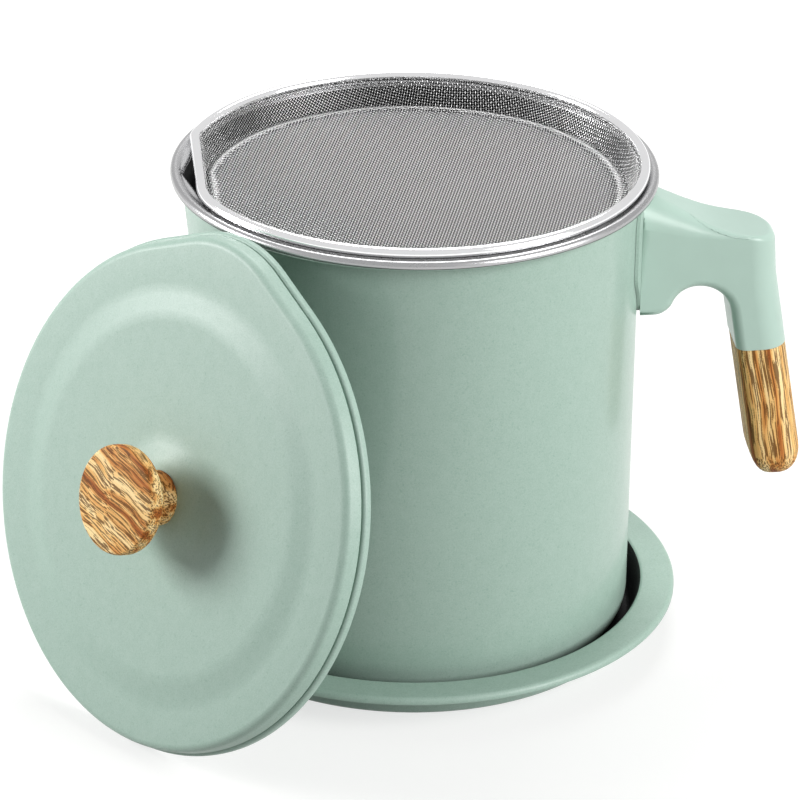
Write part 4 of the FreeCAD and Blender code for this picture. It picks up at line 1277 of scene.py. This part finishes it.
@dataclass
class Arm:
    """The moulded arm with its top pressed proud along a crease that runs down both sides."""

    crease: tuple[tuple[float, float], ...] = (
        (0.0740, 0.14035), (0.0756, 0.1377), (0.0778, 0.1347), (0.0809, 0.13215),
        (0.08405, 0.1299), (0.0871, 0.1281), (0.0902, 0.1267), (0.0948, 0.1252), (0.0994, 0.1246),
    )
    step: float = 0.0003
    proud: float = 0.00035
    fade: float = 0.007
    slack: float = 0.9
    middle: float = 0.002

    def height_at(self, along: float) -> float:
        """Give the crease's height.

        Args:
            along: the distance from the pot's axis.

        Returns:
            The height.
        """
        for (start, high), (end, low) in zip(self.crease, self.crease[1:]):
            if along <= end:
                return high + (low - high) * (along - start) / (end - start)
        return self.crease[-1][1]

    def build(self) -> None:
        """Cut the crease into a copy of the moulding and raise what lies above it."""
        bm = bmesh.new()
        bm.from_mesh(frame["nodes"]["handle_arm"].data)
        bmesh.ops.remove_doubles(bm, verts=bm.verts[:], dist=WELD)
        for (start, high), (end, low) in zip(self.crease, self.crease[1:]):
            across = Vector((high - low, 0.0, end - start)).normalized()
            for lift in (0.0, self.step):
                near = [face for face in bm.faces
                        if max(vert.co.x for vert in face.verts) > start
                        and min(vert.co.x for vert in face.verts) < end
                        and max(vert.co.z for vert in face.verts) > low - self.fade]
                parts = {item for face in near for item in (*face.verts, *face.edges)}
                bmesh.ops.bisect_plane(
                    bm, geom=near + list(parts), dist=WELD, plane_no=across,
                    plane_co=Vector((start, 0.0, high)) + across * lift,
                )
        for vert in bm.verts:
            if vert.co.x < self.crease[-1][0]:
                above = vert.co.z - self.height_at(vert.co.x)
                if above >= self.step * self.slack:
                    side = math.copysign(min(1.0, abs(vert.co.y) / self.middle), vert.co.y)
                    vert.co.y += side * self.proud * max(0.0, 1 - above / self.fade)
        bmesh.ops.recalc_face_normals(bm, faces=bm.faces[:])
        arm = Piece("moulded_arm", "pot", "green_moulding").make(
            bm, (Finish.MOULDING.value.material(),), ("handle_arm",), sharp=25.0,
        )
        arm.modifiers.new("even_shading", "WEIGHTED_NORMAL").keep_sharp = True


@dataclass
class Grip:
    """The handle's wooden grip: a D-shaped bar that leans out and ends in a dome."""

    centre: float = 0.10477
    top: float = 0.08815
    end: float = 0.0432
    outward: float = 0.00854
    inward: float = 0.0075
    half_width: float = 0.01057
    lean: float = math.radians(9.77)
    dome: float = 0.0105
    dome_power: float = 2.3
    corner_power: float = 5.0
    oval_power: float = 2.0
    around: int = 96
    stations: int = 45

    def reach(self, angle: float) -> float:
        """Give the section's edge: half an oval outwards and a rounded box inwards.

        Args:
            angle: the direction, in radians from +X.

        Returns:
            The edge's distance from the section's centre.
        """
        depth, power = self.inward, self.corner_power
        if math.cos(angle) > 0:
            depth, power = self.outward, self.oval_power
        share = (abs(math.cos(angle) / depth) ** power
                 + abs(math.sin(angle) / self.half_width) ** power)
        return share ** (-1 / power)

    def build(self) -> None:
        """Draw the section down the lean and close it with the dome."""
        length = self.top - self.end
        bm = drawn_bar(self.around, 1.0, -length / self.stations, self.stations)
        move_radially(bm, lambda reach, angle, height: self.reach(angle))
        open_top = [edge for edge in bm.edges if edge.is_boundary and edge.verts[0].co.z > -WELD]
        bmesh.ops.holes_fill(bm, edges=open_top, sides=self.around)
        for vert in bm.verts:
            share = max(0.0, 1 - (length + vert.co.z) / self.dome)
            depth = math.sin(share * math.pi / 2)
            if share > 0:
                vert.co.z = self.dome * (1 - depth) - length
            scale = max(0.0, 1 - depth ** self.dome_power) ** (1 / self.dome_power)
            vert.co.x = vert.co.x * scale - vert.co.z * math.tan(self.lean)
            vert.co.y *= scale
        weld(bm)
        bm.transform(Matrix.Translation((self.centre, 0.0, self.top)))
        finish = WoodPrint(
            "grip_print", Vector((0.0, self.lean, 0.0)), Vector((self.centre, 0.0, self.top)))
        Piece("wood_grip", "pot", "wood_print").make(
            bm, (finish.material(),), ("grip",), sharp=50.0,
        )


# ---- studio


def direction(heading: float, elevation: float) -> Vector:
    """Give the unit vector at a heading around the Z axis and an elevation above the floor."""
    return Vector((math.cos(heading) * math.cos(elevation),
                   math.sin(heading) * math.cos(elevation), math.sin(elevation)))


@dataclass
class Softbox:
    """A square lamp that looks at the container's middle."""

    name: str
    heading: float
    elevation: float
    size: float
    power: float
    distance: float = 1.5
    aim: Vector = field(default_factory=lambda: Vector((0.0, 0.0, 0.07)))

    def build(self) -> None:
        """Hang the lamp in its direction, given in degrees around and above the middle."""
        lamp = bpy.data.lights.new(self.name, "AREA")
        lamp.size = self.size
        lamp.energy = self.power
        item = link_object(self.name, lamp)
        away = direction(math.radians(self.heading), math.radians(self.elevation))
        item.location = self.aim + away * self.distance
        item.rotation_mode = "QUATERNION"
        item.rotation_quaternion = (-away).to_track_quat("-Z", "Y")


@dataclass
class Studio:
    """A white floor, soft lamps and the camera."""

    eye: Vector = field(default_factory=lambda: Vector((-0.11769, -1.16882, 0.63875)))
    heading: float = math.radians(84.42)
    drop: float = math.radians(25.84)
    roll: float = 0.013
    lens: float = 193.8
    sensor: float = 36.0
    sky: Colour = (0.94, 0.97, 1.0, 1.0)
    backdrop: Colour = (0.8, 0.8, 0.8, 1.0)
    ambient: float = 0.19
    floor_size: float = 12.0
    floor_drop: float = 0.0001
    floor_colour: Colour = srgb(164, 164, 162)
    floor_glow: float = 0.68
    floor_fade: tuple[float, float] = (0.5, 1.3)

    def build_camera(self) -> None:
        """Point the camera at the container from above its front left."""
        data = bpy.data.cameras.new("camera")
        data.lens, data.sensor_width = self.lens, self.sensor
        item = link_object("camera", data)
        ahead = direction(self.heading, -self.drop)
        right = ahead.cross(Z_AXIS).normalized()
        up = right.cross(ahead)
        rolled = Matrix((
            right * math.cos(self.roll) + up * math.sin(self.roll),
            up * math.cos(self.roll) - right * math.sin(self.roll),
            -ahead,
        )).transposed()
        item.matrix_world = Matrix.Translation(self.eye) @ rolled.to_4x4()
        bpy.context.scene.camera = item

    def build_world(self) -> None:
        """Surround the container with soft light that the camera sees as a pale backdrop."""
        world = bpy.data.worlds.new("studio")
        bpy.context.scene.world = world
        desk = Desk(world)
        light = desk.add("Background", None, {"Color": self.sky, "Strength": self.ambient})
        pale = desk.add("Background", None, {"Color": self.backdrop, "Strength": 1.0})
        mix = desk.add("MixShader", None, {0: desk.seen(), 1: light, 2: pale})
        desk.add("OutputWorld", None, {"Surface": mix})

    def build_floor(self) -> None:
        """Lay the white floor just under the tray."""
        bm = bmesh.new()
        bmesh.ops.create_grid(bm, x_segments=1, y_segments=1, size=self.floor_size / 2)
        bm.transform(Matrix.Translation(Z_AXIS * -self.floor_drop))
        mesh = bpy.data.meshes.new("studio_floor")
        bm.to_mesh(mesh)
        bm.free()
        desk = Desk.of_material("studio_floor")
        away = desk.add("VectorMath", {"operation": "LENGTH"}, {0: desk.place()}, "Value")
        strength = self.floor_glow + (1.0 - self.floor_glow) * desk.mask(away, *self.floor_fade)
        matt = desk.add("BsdfDiffuse", None, {"Color": self.floor_colour})
        glow = desk.add("Emission", None, {
            "Color": (1.0, 1.0, 1.0, 1.0), "Strength": strength * desk.seen()})
        both = desk.add("AddShader", None, {0: matt, 1: glow})
        desk.add("OutputMaterial", None, {"Surface": both})
        mesh.materials.append(desk.owner)
        item = link_object("studio_floor", mesh)

    def build(self) -> None:
        """Build the camera, the world, the floor and the lamps."""
        self.build_camera()
        self.build_world()
        self.build_floor()
        for lamp in (
            Softbox("left_key", 172.0, 20.0, 0.62, 22.5),
            Softbox("front_right_fill", -37.0, 24.0, 0.9, 23.0),
            Softbox("back_top_lamp", 80.0, 56.0, 0.8, 13.0),
        ):
            lamp.build()


def main() -> None:
    """Build the container, piece by piece, and its studio."""
    logging.basicConfig(level=logging.INFO, format="%(name)s: %(message)s")
    bpy.context.scene.view_settings.view_transform = "Standard"
    Studio().build()
    lean = Lean()
    Tray().build()
    Pot().build()
    strainer = Strainer()
    strainer.build_ring()
    strainer.build_basket()
    Lid().build(lean)
    Knob().build(lean)
    Arm().build()
    Grip().build()
    dress_nodes(Finish.PAINT.value.material(), "handle_bracket")
    dress_nodes(Finish.ZINC.value.material(), "arm_screw", "grip_stud", "knob_screw", "knob_washer")
    dress_nodes(Finish.BRASS.value.material(), "arm_insert", "grip_insert", "knob_insert")


if __name__ == "__main__":
    main()
